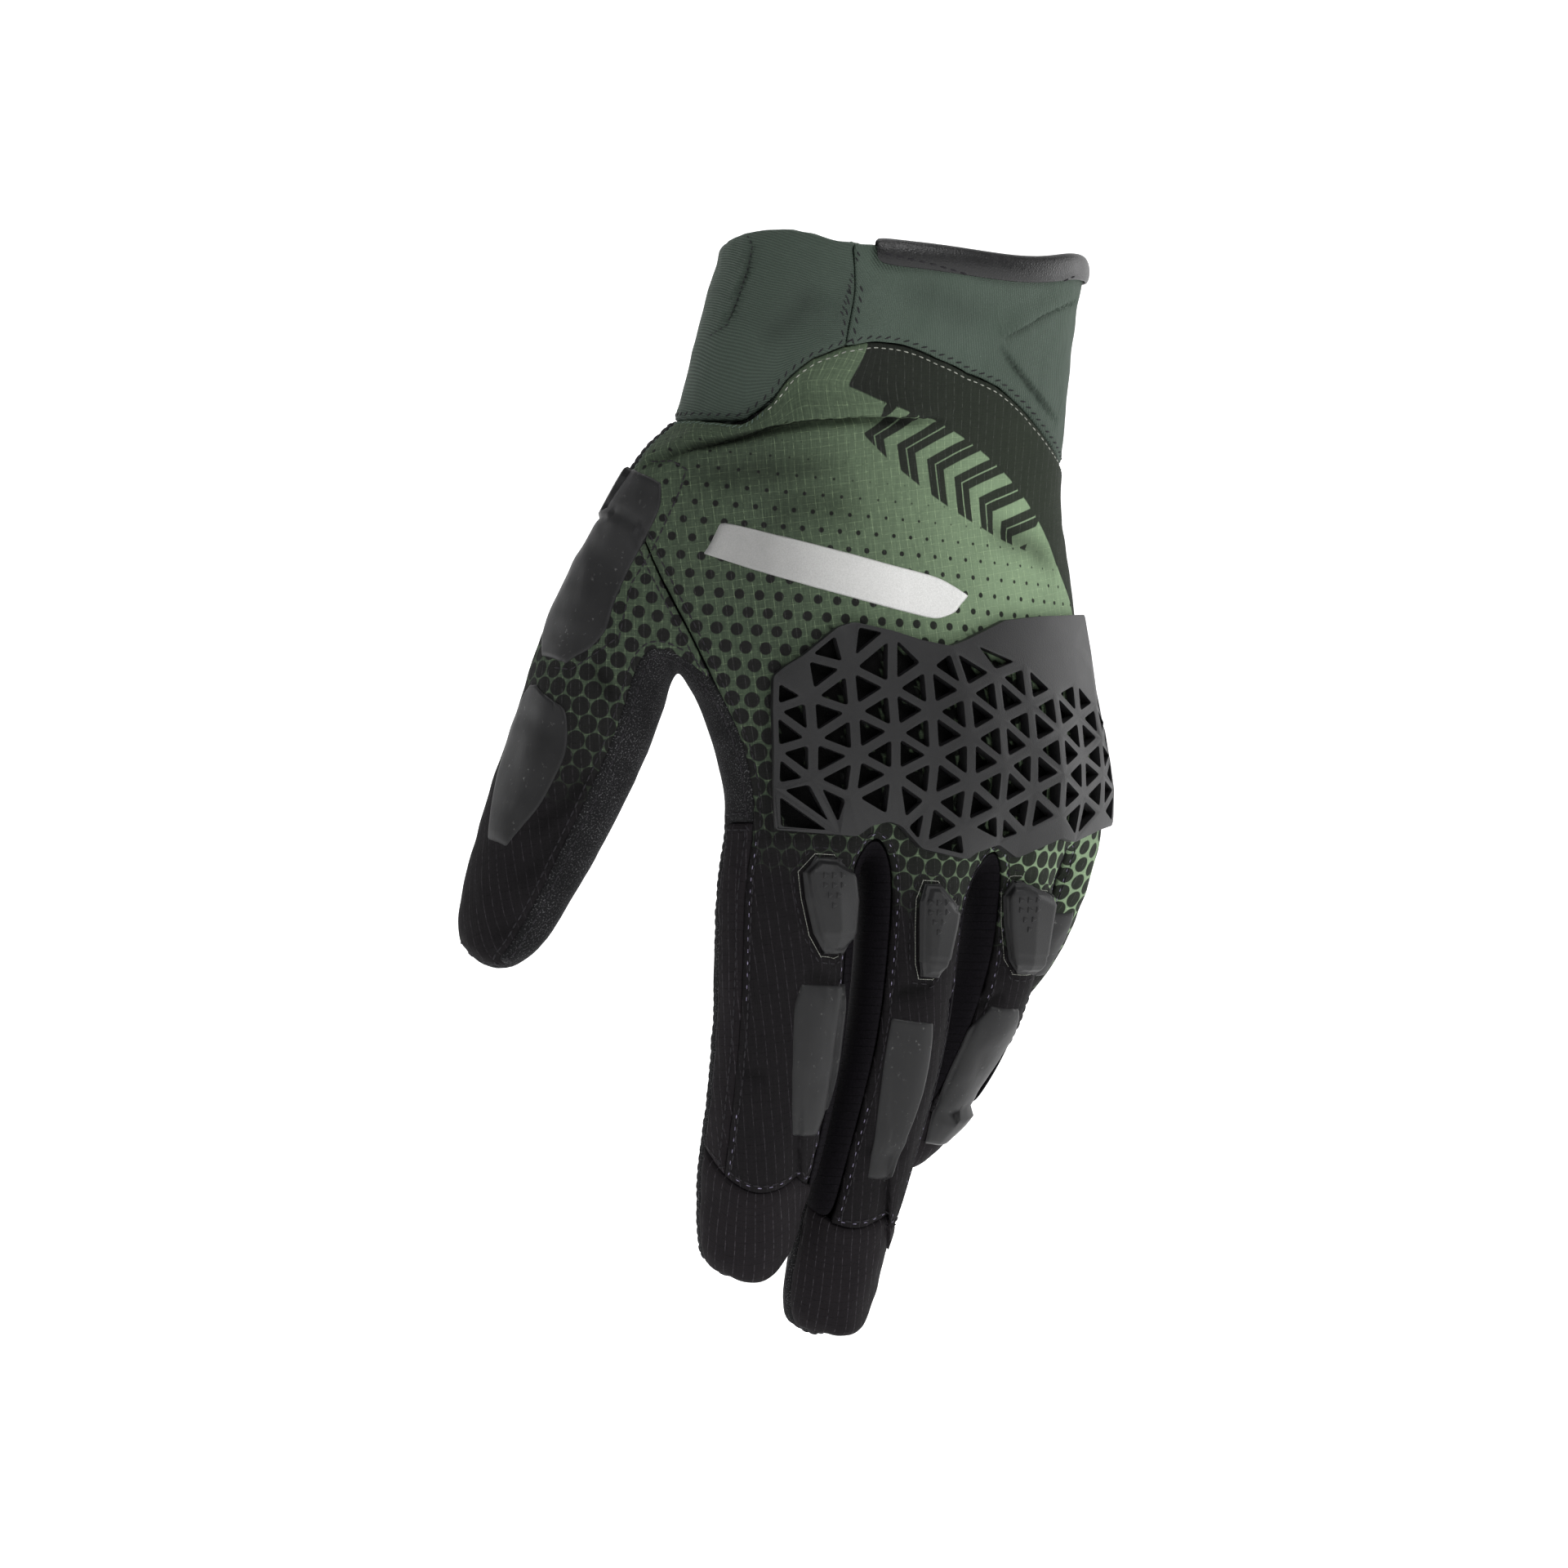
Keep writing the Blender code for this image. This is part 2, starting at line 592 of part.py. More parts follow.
def inside_gap(point, loop):
    """How far a flat point lies inside a closed loop, or a negative number outside it."""
    sides = list(zip(loop, loop[1:] + loop[:1]))
    crossings = 0
    gap = GUARD_SPAN
    for a, b in sides:
        along = b - a
        if (a.y > point.y) != (b.y > point.y) and point.x < a.x + along.x * (point.y - a.y) / along.y:
            crossings += 1
        share = min(1, max(0, (point - a).dot(along) / along.length_squared))
        gap = min(gap, (point - a - along * share).length)
    return gap if crossings % 2 else -gap


def in_plain_corner(point):
    """Whether a flat point lies in the guard's upper right corner, which has no holes."""
    across, down = PLAIN_CORNER
    return point.x > across * GUARD_SPAN and -point.y < down * GUARD_DROP


def guard_sheet():
    """The guard as a flat sheet, x across and y up: a rim, and a lattice of pierced triangles inside it."""
    mesh = bmesh.new()
    plate = mesh.faces.new([
        mesh.verts.new((across * GUARD_SPAN, -down * GUARD_DROP, 0)) for across, down in GUARD_OUTLINE
    ])
    mesh.normal_update()
    bmesh.ops.inset_region(mesh, faces=[plate], thickness=RIM_WIDTH, use_even_offset=True)
    border = list(plate.verts)
    loop = [vertex.co.xy.copy() for vertex in border]
    bmesh.ops.delete(mesh, geom=[plate], context="FACES_ONLY")
    nodes = []
    for i in range(1, int(GUARD_SPAN * (1 + LATTICE_LEAN) / HOLE_COLUMN) + 1):
        for j in range(int(GUARD_DROP / HOLE_ROW) + 3):
            drop = (j + i % 2 / 2) * HOLE_ROW
            node = Vector((i * HOLE_COLUMN - LATTICE_START - drop * LATTICE_LEAN, -drop))
            if inside_gap(node, loop) > RIM_CLEAR:
                nodes.append(node)
    sides = [(i, (i + 1) % len(loop)) for i in range(len(loop))]
    corners, _, faces, _, _, _ = delaunay_2d_cdt(loop + nodes, sides, [], 1, 1e-6)
    verts = border + [mesh.verts.new((corner.x, corner.y, 0)) for corner in corners[len(border):]]
    cells = [mesh.faces.new([verts[i] for i in face]) for face in faces]
    bmesh.ops.recalc_face_normals(mesh, faces=mesh.faces)
    pierced = [
        cell for cell in cells
        if 2 * cell.calc_area() / max(edge.calc_length() for edge in cell.edges) > HOLE_LEAST
        and not in_plain_corner(cell.calc_center_median())
    ]
    bmesh.ops.inset_individual(mesh, faces=pierced, thickness=STRUT_WIDTH / 2, use_even_offset=True)
    bmesh.ops.delete(mesh, geom=pierced, context="FACES")
    return mesh


def make_guard():
    """The flat lattice wrapped over the knuckles and thickened outwards."""
    mesh = guard_sheet()
    mesh.verts.index_update()
    flat = [vertex.co.copy() for vertex in mesh.verts]
    places = [(point.x / GUARD_SPAN, -point.y / GUARD_DROP) for point in flat]
    spots = [on_surface(hand_seat(across, down)) for across, down in places]
    faces = [tuple(vertex.index for vertex in face.verts) for face in mesh.faces]
    heights = settle(spots, faces, GUARD_GAP)
    grown = bmesh.ops.extrude_face_region(mesh, geom=mesh.faces[:], use_keep_orig=True)
    tops = {item for item in grown["geom"] if isinstance(item, bmesh.types.BMVert)}
    numbers = {tuple(point): i for i, point in enumerate(flat)}
    for vertex in mesh.verts:
        i = numbers[tuple(vertex.co)]
        hit, outward = spots[i]
        height = heights[i] + (guard_height(*places[i]) if vertex in tops else 0)
        vertex.co = hit + outward * height
    return add_object("knuckle_guard", mesh, "moulded_rubber")


def make_binding(wall):
    """The leather strip folded over the cuff's mouth, from the tab's seam round to its far end."""
    rim = [edge for edge in surface.edges if len(edge.link_faces) == 1]
    touching = [
        edge for edge in rim if edge.link_faces[0].material_index == cage.panels.index("cuff")
    ]
    ends = {}
    for edge in touching:
        for vertex in edge.verts:
            ends.setdefault(vertex, []).append(edge)
    vertex = next(vertex for vertex, edges in ends.items() if len(edges) == 1)
    path = [vertex]
    used = set()
    while True:
        onward = [edge for edge in ends[path[-1]] if edge not in used]
        if not onward:
            break
        used.add(onward[0])
        path.append(onward[0].other_vert(path[-1]))
    mesh = bmesh.new()
    rings = []
    for i, vertex in enumerate(path):
        out = vertex.normal
        along = (path[min(i + 1, len(path) - 1)].co - path[max(i - 1, 0)].co).normalized()
        up = along.cross(out)
        up = up if up.z > 0 else -up
        place = vertex.co.copy()
        if i in (0, len(path) - 1):
            place += along * (SEAM_GAP if i == 0 else -SEAM_GAP)
        face = BINDING_FIT
        back = -wall - BINDING_FIT
        low = -BINDING_HEIGHT + BINDING_ROUND
        bend = low + BINDING_ROUND / 2
        top = BINDING_ROUND * 1.6
        profile = (
            (face, low), (face + BINDING_ROUND, bend), (face + BINDING_ROUND, -BINDING_ROUND),
            (0.0, top), (-wall, top), (back - BINDING_ROUND, -BINDING_ROUND),
            (back - BINDING_ROUND, bend), (back, low), (back, BINDING_FIT), (face, BINDING_FIT),
        )
        rings.append([mesh.verts.new(place + out * across + up * height) for across, height in profile])
    for ring, following in zip(rings, rings[1:]):
        for i in range(len(ring)):
            j = (i + 1) % len(ring)
            mesh.faces.new((ring[i], ring[j], following[j], following[i]))
    for ring in (rings[0], rings[-1]):
        mesh.faces.new((ring[0], ring[1], ring[2], ring[9]))
        mesh.faces.new((ring[9], ring[2], ring[3]))
        mesh.faces.new((ring[9], ring[3], ring[4], ring[8]))
        mesh.faces.new((ring[8], ring[4], ring[5]))
        mesh.faces.new((ring[8], ring[5], ring[6], ring[7]))
    return add_object("cuff_binding", mesh, "binding")


def add_object(name, mesh, material):
    """Link a finished bmesh to the glove's collection as one named sub-part."""
    bmesh.ops.recalc_face_normals(mesh, faces=mesh.faces)
    data = bpy.data.meshes.new(name)
    mesh.to_mesh(data)
    mesh.free()
    for polygon in data.polygons:
        polygon.use_smooth = True
    data.materials.append(make_material(material))
    made = bpy.data.objects.new(name, data)
    main_collection.objects.link(made)
    return made


def make_material(name):
    """The named Principled material, made once."""
    if name in bpy.data.materials:
        return bpy.data.materials[name]
    colour, roughness = MATERIALS[name]
    made = bpy.data.materials.new(name)
    made.use_nodes = True
    shader = made.node_tree.nodes["Principled BSDF"]
    shader.inputs["Base Color"].default_value = (*colour, 1)
    shader.inputs["Roughness"].default_value = roughness
    return made


for leftover in list(bpy.data.objects):
    bpy.data.objects.remove(leftover)
main_collection = bpy.data.collections.new("motorcycle_glove")
guide_collection = bpy.data.collections.new("guides")
bpy.context.scene.collection.children.link(main_collection)
bpy.context.scene.collection.children.link(guide_collection)

PANEL_CLOTH = {
    # material, wall as a share of CLOTH_WALL
    "cuff": ("stretch_knit", 1.3),
    "cuff_tab": ("stretch_knit", 1.3),
    "back_panel": ("ripstop_print", 1.0),
    "palm_panel": ("suede", 1.0),
    "thumb_panel": ("ripstop_print", 1.0),
    "index_side": ("ripstop_black", 1.0),
    "index_tip": ("ripstop_black", 1.0),
    "middle_tip": ("ripstop_black", 1.0),
    "ring_tip": ("ripstop_black", 1.0),
    "little_tip": ("ripstop_black", 1.0),
    "gusset_1": ("gusset_mesh", 1.0),
    "gusset_2": ("gusset_mesh", 1.0),
    "gusset_3": ("gusset_mesh", 1.0),
}

cage = build_cage()
hand_form = smooth_form(cage)
surface = evaluated_mesh(hand_form)
surface_tree = BVHTree.FromBMesh(surface)
for number, panel in enumerate(cage.panels):
    cloth, share = PANEL_CLOTH[panel]
    cut_panel(surface, number, panel, CLOTH_WALL * share, cloth)

for finger, rows in INSERTS.items():
    lay_strip(
        f"knuckle_insert_{finger}", finger_rows(rows), on_finger(finger), INSERT_SHARES,
        INSERT_EDGE, INSERT_THICK, "moulded_rubber",
    )
for finger, rows in FINGER_PRINTS.items():
    lay_strip(
        f"finger_print_{finger}", finger_rows(rows), on_finger(finger), PRINT_SHARES,
        PRINT_THICK, PRINT_THICK, "printed_rubber",
    )
for half, rows in THUMB_PRINTS.items():
    lay_strip(
        f"thumb_print_{half}", finger_rows(rows), on_finger("thumb"), THUMB_PRINT_SHARES,
        PRINT_THICK, PRINT_THICK, "printed_rubber",
    )
lay_strip("reflective_badge", BADGE_ROWS, hand_seat, PRINT_SHARES, BADGE_THICK, BADGE_THICK, "reflective")
make_guard()
make_binding(CLOTH_WALL * PANEL_CLOTH["cuff"][1])
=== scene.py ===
import math

import bmesh
import bpy
import numpy as np
from mathutils import Matrix, Vector, noise
from mathutils.bvhtree import BVHTree
from mathutils.kdtree import KDTree


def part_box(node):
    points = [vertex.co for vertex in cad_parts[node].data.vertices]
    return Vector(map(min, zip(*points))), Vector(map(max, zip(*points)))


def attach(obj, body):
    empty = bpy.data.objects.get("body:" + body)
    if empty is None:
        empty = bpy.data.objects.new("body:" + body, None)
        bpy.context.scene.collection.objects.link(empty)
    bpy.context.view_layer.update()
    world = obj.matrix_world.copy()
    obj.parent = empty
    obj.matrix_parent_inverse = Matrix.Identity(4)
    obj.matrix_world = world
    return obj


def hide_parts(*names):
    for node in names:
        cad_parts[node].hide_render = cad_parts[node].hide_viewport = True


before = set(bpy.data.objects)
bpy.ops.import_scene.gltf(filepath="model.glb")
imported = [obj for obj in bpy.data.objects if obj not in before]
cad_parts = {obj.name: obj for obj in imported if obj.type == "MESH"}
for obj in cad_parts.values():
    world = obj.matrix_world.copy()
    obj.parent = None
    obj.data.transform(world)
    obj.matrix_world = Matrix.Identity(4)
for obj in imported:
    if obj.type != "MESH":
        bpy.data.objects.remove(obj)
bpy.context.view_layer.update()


# The stand. A pale paper sweep runs under and up behind the glove, lit by large
# soft lamps, and the camera looks level at the back of the hand from far off.
SWEEP_WIDTH, SWEEP_DEPTH, SWEEP_HEIGHT, SWEEP_ROUND = 6.0, 2.6, 3.2, 0.9
FLOOR = -0.2455
AIM = Vector((-0.0243, 0.0, -0.117))
CAMERA_DISTANCE, LENS = 1.44, 150
LAMPS = (
    # name, place from the glove (m), width (m), power (W)
    ("key", (0.85, -1.15, 1.1), 0.8, 15),
    ("fill", (-1.3, -1.2, 0.35), 1.2, 3.5),
    ("top", (0.15, 0.25, 1.45), 1.0, 9),
    ("edge_left", (-1.35, 0.35, 0.1), 0.8, 7),
    ("edge_right", (1.25, 0.55, 0.25), 0.8, 7),
)


def alone(piece, mode="OBJECT"):
    """Selects one piece and nothing else, and opens it in that mode."""
    if bpy.context.mode != "OBJECT":
        bpy.ops.object.mode_set(mode="OBJECT")
    bpy.ops.object.select_all(action="DESELECT")
    piece.select_set(True)
    bpy.context.view_layer.objects.active = piece
    bpy.ops.object.mode_set(mode=mode)
    return piece


def tint(red, green, blue):
    """A colour as the shader reads it, from its 0-255 screen values."""
    return tuple(((c / 255 + 0.055) / 1.055) ** 2.4 if c > 10 else c / 255 / 12.92
                 for c in (red, green, blue)) + (1.0,)


bpy.ops.object.select_all(action="DESELECT")
bpy.ops.mesh.primitive_plane_add(size=1)
sweep = bpy.context.object
sweep.name = "paper_sweep"
bpy.ops.transform.resize(value=(SWEEP_WIDTH, 2 * SWEEP_DEPTH, 1))
bpy.ops.transform.translate(value=(0, 0, FLOOR))
bpy.ops.object.transform_apply()
alone(sweep, "EDIT")
bpy.ops.mesh.select_mode(type="EDGE")
bpy.ops.mesh.select_all(action="DESELECT")
shape = bmesh.from_edit_mesh(sweep.data)
for edge in shape.edges:
    edge.select_set(all(v.co.y > 0 for v in edge.verts))
bmesh.update_edit_mesh(sweep.data)
bpy.ops.mesh.extrude_edges_move(TRANSFORM_OT_translate={"value": (0, 0, SWEEP_HEIGHT)})
bpy.ops.mesh.select_all(action="DESELECT")
shape = bmesh.from_edit_mesh(sweep.data)
for edge in shape.edges:
    edge.select_set(all(v.co.y > 0 and v.co.z < FLOOR + 0.01 for v in edge.verts))
bmesh.update_edit_mesh(sweep.data)
bpy.ops.mesh.bevel(offset=SWEEP_ROUND, segments=24)
alone(sweep)
bpy.ops.object.shade_smooth()
paper = bpy.data.materials.new("pale_paper")
paper.use_nodes = True
paper.node_tree.nodes["Principled BSDF"].inputs["Base Color"].default_value = tint(246, 246, 246)
paper.node_tree.nodes["Principled BSDF"].inputs["Roughness"].default_value = 0.9
paper.node_tree.nodes["Principled BSDF"].inputs["Emission Color"].default_value = tint(255, 255, 255)
paper.node_tree.nodes["Principled BSDF"].inputs["Emission Strength"].default_value = 0.68
sweep.data.materials.append(paper)

for name, place, width, power in LAMPS:
    lamp = bpy.data.lights.new(name, "AREA")
    lamp.size, lamp.energy = width, power
    holder = bpy.data.objects.new(name, lamp)
    holder.location = AIM + Vector(place)
    holder.rotation_euler = (AIM - holder.location).to_track_quat("-Z", "Y").to_euler()
    bpy.context.scene.collection.objects.link(holder)
world = bpy.data.worlds.new("pale_room")
world.use_nodes = True
world.node_tree.nodes["Background"].inputs["Color"].default_value = tint(250, 250, 252)
world.node_tree.nodes["Background"].inputs["Strength"].default_value = 0.26
bpy.context.scene.world = world
bpy.context.scene.view_settings.view_transform = "Standard"

camera = bpy.data.cameras.new("camera")
camera.lens, camera.sensor_width = LENS, 36
watcher = bpy.data.objects.new("camera", camera)
watcher.location = AIM + Vector((0, -CAMERA_DISTANCE, 0))
watcher.rotation_euler = (math.pi / 2, 0, 0)
bpy.context.scene.collection.objects.link(watcher)
bpy.context.scene.camera = watcher


# The back cloth and the thumb cloth. Printed ripstop nylon, cut flat and sewn round
# the back of the hand, the fingers and the thumb, with its edges turned in at the seams.
WALL = 0.0012
WELD = 0.00001
SEAM_ROLL, SEAM_SINK = 0.0022, 0.0006
RIPSTOP_SQUARE = 0.0021
TURN_OUT, TURN_DOWN = 0.0009, 0.0012
DOT_PITCH = 0.0044
BACK_FOLDS = (
    # line drawn on the cloth (mm across, mm up), depth (mm), width (mm), lift above (mm)
    (((-56, -48.5), (-53, -47.0), (-44, -43.8), (-35, -42.0), (-25, -39.1), (-18, -37.8), (-6, -36.9), (9, -37.8),
      (14, -38.6)), 2.2, 1.0, 2.6),
    (((-48, -52), (-30, -49), (-8, -48)), 0.5, 4.0, 0.3),
    (((-59.4, -83.7), (-56, -90), (-52, -95), (-48.5, -99)), 1.6, 1.6, 0.4),
    (((-20, -158), (-14, -160), (-9, -157)), 0.7, 2.0, 0.5),
    (((-9, -160), (0, -163), (10, -161)), 0.9, 1.8, 0.6),
    (((12, -163), (20, -166), (26, -163)), 0.7, 1.8, 0.5),
    (((-9, -196), (-2, -199), (4, -197)), 0.5, 1.6, 0.3),
    (((-38, -176), (-32, -180), (-26, -181)), 0.5, 1.8, 0.3),
    (((20, -60), (30, -64), (38, -70)), 0.6, 3.0, 0.3),
    (((-30, -60), (-20, -56), (-5, -57)), 0.4, 5.0, 0.2),
)
THUMB_FOLDS = (
    (((-80, -128), (-72, -122), (-64, -112)), 0.7, 2.2, 0.4),
    (((-84, -140), (-76, -133), (-70, -124)), 0.5, 2.6, 0.3),
    (((-88, -150), (-80, -146), (-72, -136)), 0.4, 2.4, 0.3),
    (((-66, -90), (-62, -97), (-56, -102)), 0.6, 2.0, 0.3),
)


def sheet_from(node, name, crease=50):
    """The outside of a CAD panel alone: its largest smooth side, as a sheet of quads."""
    sheet = bpy.data.objects.new(name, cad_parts[node].data.copy())
    sheet.data.materials.clear()
    bpy.context.scene.collection.objects.link(sheet)
    shape = bmesh.new()
    shape.from_mesh(sheet.data)
    bmesh.ops.remove_doubles(shape, verts=shape.verts, dist=WELD)
    left, sides = dict.fromkeys(shape.faces), []
    while left:
        side = [left.popitem()[0]]
        for face in side:
            for edge in face.edges:
                for other in edge.link_faces:
                    if other in left and edge.calc_face_angle(0) < math.radians(crease):
                        left.pop(other)
                        side.append(other)
        sides.append(side)
    outside = set(max(sides, key=lambda side: sum(face.calc_area() for face in side)))
    bmesh.ops.delete(shape, geom=[f for f in shape.faces if f not in outside], context="FACES")
    shape.to_mesh(sheet.data)
    alone(sheet, "EDIT")
    bpy.ops.mesh.select_all(action="SELECT")
    bpy.ops.mesh.tris_convert_to_quads(face_threshold=math.pi, shape_threshold=math.pi,
                                       topology_influence=1.5)
    return alone(sheet)


def flatten(sheet, across=(1, 0, 0)):
    """Unwraps the sheet as its flat pattern, in metres, turned to lie as it does on the hand."""
    alone(sheet, "EDIT")
    bpy.ops.mesh.select_all(action="SELECT")
    bpy.ops.uv.unwrap(method="ANGLE_BASED", margin=0)
    alone(sheet)
    mesh = sheet.data
    layer = mesh.uv_layers[0]
    layer.name = "flat"
    flat = np.array([d.uv for d in layer.data])
    placed = np.array([mesh.vertices[loop.vertex_index].co for loop in mesh.loops])
    flat = flat[:, 0] + 1j * flat[:, 1]
    worn = placed @ np.array(across) + 1j * placed[:, 2]
    rings = [flat[list(p.loop_indices)] for p in mesh.polygons]
    cut = sum(abs(np.sum(ring * np.conj(np.roll(ring, 1))).imag) / 2 for ring in rings)
    size = math.sqrt(sum(p.area for p in mesh.polygons) / cut)
    turn = np.sum(np.conj(flat - flat.mean()) * (worn - worn.mean()))
    turn = turn / abs(turn) * size
    laid = (flat - flat.mean()) * turn + worn.mean()
    layer.data.foreach_set("uv", np.column_stack([laid.real, laid.imag]).astype(np.float32).ravel())


def refine(piece, levels, kind="CATMULL_CLARK"):
    """Rounds a piece with that many levels of subdivision, or only splits its faces."""
    alone(piece)
    rounder = piece.modifiers.new("round", "SUBSURF")
    rounder.subdivision_type = kind
    rounder.boundary_smooth = "PRESERVE_CORNERS"
    rounder.levels = rounder.render_levels = levels
    bpy.ops.object.modifier_apply(modifier="round")
    bpy.ops.object.shade_smooth()
    return piece


def points_of(piece):
    """The piece's vertices and their normals, as two arrays."""
    count = len(piece.data.vertices)
    places, normals = np.zeros(count * 3), np.zeros(count * 3)
    piece.data.vertices.foreach_get("co", places)
    piece.data.vertices.foreach_get("normal", normals)
    return places.reshape(-1, 3), normals.reshape(-1, 3)


def put_points(piece, places):
    piece.data.vertices.foreach_set("co", places.astype(np.float32).ravel())
    piece.data.update()


def border_gap(piece):
    """How far each vertex lies from the nearest edge of the sheet."""
    border = {v for e in border_edges(piece) for v in e}
    tree = KDTree(len(border))
    for index in border:
        tree.insert(piece.data.vertices[index].co, index)
    tree.balance()
    return np.array([tree.find(v.co)[2] for v in piece.data.vertices])


def border_edges(piece):
    """The edges that bound the sheet, as pairs of vertex numbers."""
    met = {}
    for face in piece.data.polygons:
        for key in face.edge_keys:
            met[key] = met.get(key, 0) + 1
    return [key for key, times in met.items() if times == 1]


def bed_of(*meshes):
    """A surface made of those meshes, to lay other pieces on."""
    corners, faces = [], []
    for mesh in meshes:
        faces += [[index + len(corners) for index in face.vertices] for face in mesh.polygons]
        corners += [vertex.co for vertex in mesh.vertices]
    return BVHTree.FromPolygons(corners, faces)


def drape_line(bed, line, step=0.0012, view=-1):
    """A line drawn across the hand in mm, laid on the bed as points in space."""
    drawn = [Vector((x, 0, z)) / 1000 for x, z in line]
    laid = []
    for start, end in zip(drawn, drawn[1:]):
        parts = max(1, round((end - start).length / step))
        for part in range(parts):
            point = start.lerp(end, part / parts)
            hit = bed.ray_cast(Vector((point.x, view * 0.3, point.z)), Vector((0, -view, 0)))[0]
            if hit:
                laid.append(hit)
    return laid


def crease_cloth(piece, folds, view=-1):
    """Presses folds into the cloth: a sharp groove along each line, and above it a roll that hangs over. It also
    keeps a painted shade along each groove, in the point attribute crease, for the finishes to darken.
    """
    places, normals = points_of(piece)
    moved, dropped, shade = (np.zeros(len(places)) for _ in range(3))
    bed = bed_of(piece.data)
    for line, depth, width, lift in folds:
        laid = drape_line(bed, line, view=view)
        if len(laid) < 2:
            continue
        tree = KDTree(len(laid))
        for index, point in enumerate(laid):
            tree.insert(point, index)
        tree.balance()
        for index, place in enumerate(places):
            near, which, gap = tree.find(place)
            if gap > 0.02:
                continue
            fade = min(1, min(which, len(laid) - 1 - which) / (0.25 * len(laid))) ** 0.7
            gap *= 1000
            above = place[2] > near[2]
            groove = math.exp(-(gap / (width * (0.6 if above else 1.4))) ** 2)
            roll = math.exp(-((gap - 1.4 * width) / ((3.0 if gap > 1.4 * width else 0.8) * width)) ** 2)
            moved[index] += fade * (lift * roll * above - depth * groove) / 1000
            dropped[index] += fade * 0.5 * lift * roll * above / 1000
            # Painted shade: how dark the groove is painted, strongest at its middle, kept as the crease
            # attribute.
            shade[index] = max(shade[index], fade * min(1, depth) * math.exp(-(gap / width) ** 2))
    put_points(piece, places + normals * moved[:, None] - np.outer(dropped, (0, 0, 1)))
    piece.data.attributes.new("crease", "FLOAT", "POINT").data.foreach_set("value", shade.astype(np.float32))


def settle_cloth(piece, wrinkle=0.00030):
    """Rolls the edges in at the seams, and gives the cloth its slack, its wrinkles and its puckers."""
    gap = border_gap(piece)
    places, normals = points_of(piece)
    roll = np.clip(1 - gap / SEAM_ROLL, 0, 1) ** 2 * SEAM_SINK
    slack = np.array([noise.fractal(Vector((x * 95, y * 95, z * 38)), 1, 2, 3) for x, y, z in places])
    wave = np.array([noise.noise(Vector((x * 60, y * 60, z * 210 + x * 90))) for x, y, z in places])
    pucker = np.array([noise.noise(Vector(p) * 300) for p in places]) * np.exp(-gap / 0.004)
    held = np.clip(gap / 0.003, 0.25, 1)
    rise = wrinkle * (slack + 0.7 * wave) * held + 0.00034 * pucker - roll
    put_points(piece, places + normals * rise[:, None])


FINGERTIP_SEAMS = (
    # CAD node below the seam, how far the seam bows down in the middle (mm)
    ("index_tip", 8.0),
    ("middle_tip", 5.5),
    ("ring_tip", 3.0),
)
SEAM_REACH = 0.020


def bow_seams(piece):
    """Draws the cloth so that the seam over each fingertip runs as a U round the finger."""
    places, _ = points_of(piece)
    tips = [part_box(node) for node, _ in FINGERTIP_SEAMS]
    aside = np.array([np.abs(places[:, 0] - (low.x + high.x) / 2) / (high.x - low.x) * 2
                      for low, high in tips])
    nearest = aside.argmin(axis=0)
    for number, ((_, bow), (low, high)) in enumerate(zip(FINGERTIP_SEAMS, tips)):
        close = np.clip(1 - np.abs(places[:, 2] - high.z) / SEAM_REACH, 0, 1)
        close = close ** 2 * (3 - 2 * close) * (nearest == number) * (places[:, 1] < high.y + 0.01)
        places[:, 2] += close * bow / 1000 * (np.minimum(aside[number], 1.1) ** 2 - 0.12)
    put_points(piece, places)


CUFF_LINE = (
    # across (mm), the sewn edge's height, and how far the seam is drawn up (mm)
    (-60, -31, -4.0),
    (-48, -31, -4.9),
    (-33, -31.4, -5.8),
    (-26.5, -29.4, -2.7),
    (-23.6, -28.2, 0.0),
    (-20, -26.6, 2.9),
    (-15.3, -24.4, 3.4),
    (-11, -22.9, 2.4),
    (-4, -21.1, 0.6),
    (2, -21, -0.5),
    (9, -21.6, -2.2),
    (16, -24, -2.5),
    (23, -29, -0.5),
    (30, -36, 0.0),
)
CUFF_REACH = 0.015
TAB_LINE = ((-1.5, 0.004), (-10, 0.0), (-22, -0.0045))


def shape_cuff_seam(piece):
    """Draws the seam of the cuff to its curve over the wrist, and the tab's edge upright."""
    places, _ = points_of(piece)
    across, heights, drawn_up = (np.array(column) / 1000 for column in zip(*CUFF_LINE))
    front = np.clip((0.012 - places[:, 1]) / 0.008, 0, 1)
    close = np.clip(1 - np.abs(places[:, 2] - np.interp(places[:, 0], across, heights)) / CUFF_REACH, 0, 1)
    places[:, 2] += close ** 2 * (3 - 2 * close) * front * np.interp(places[:, 0], across, drawn_up)
    high, lean = (np.array(column) for column in zip(*reversed(TAB_LINE)))
    upright = np.interp(places[:, 2] * 1000, high, lean)
    near = np.clip(1 - np.abs(places[:, 0] + 0.010 - upright) / 0.016, 0, 1)
    above = np.clip((places[:, 2] + 0.030) / 0.008, 0, 1)
    places[:, 0] -= near ** 2 * (3 - 2 * near) * front * above * upright
    put_points(piece, places)


def turn_in(piece):
    """Turns the sheet's edges in under its neighbours, as a seam allowance."""
    shape = bmesh.new()
    shape.from_mesh(piece.data)
    border = [edge for edge in shape.edges if edge.is_boundary]
    inward = {}
    for edge in border:
        along = (edge.verts[1].co - edge.verts[0].co).normalized()
        into = edge.link_faces[0].calc_center_median() - edge.verts[0].co
        for vertex in edge.verts:
            inward[vertex] = inward.get(vertex, Vector()) + (into - along * into.dot(along)).normalized()
    ways = {vertex: -way.normalized() * TURN_OUT - vertex.normal * TURN_DOWN
            for vertex, way in inward.items()}
    grown = bmesh.ops.extrude_edge_only(shape, edges=border)["geom"]
    for vertex in grown:
        if isinstance(vertex, bmesh.types.BMVert):
            root = next(e.other_vert(vertex) for e in vertex.link_edges if e.other_vert(vertex) in ways)
            vertex.co = root.co + ways[root]
    shape.to_mesh(piece.data)


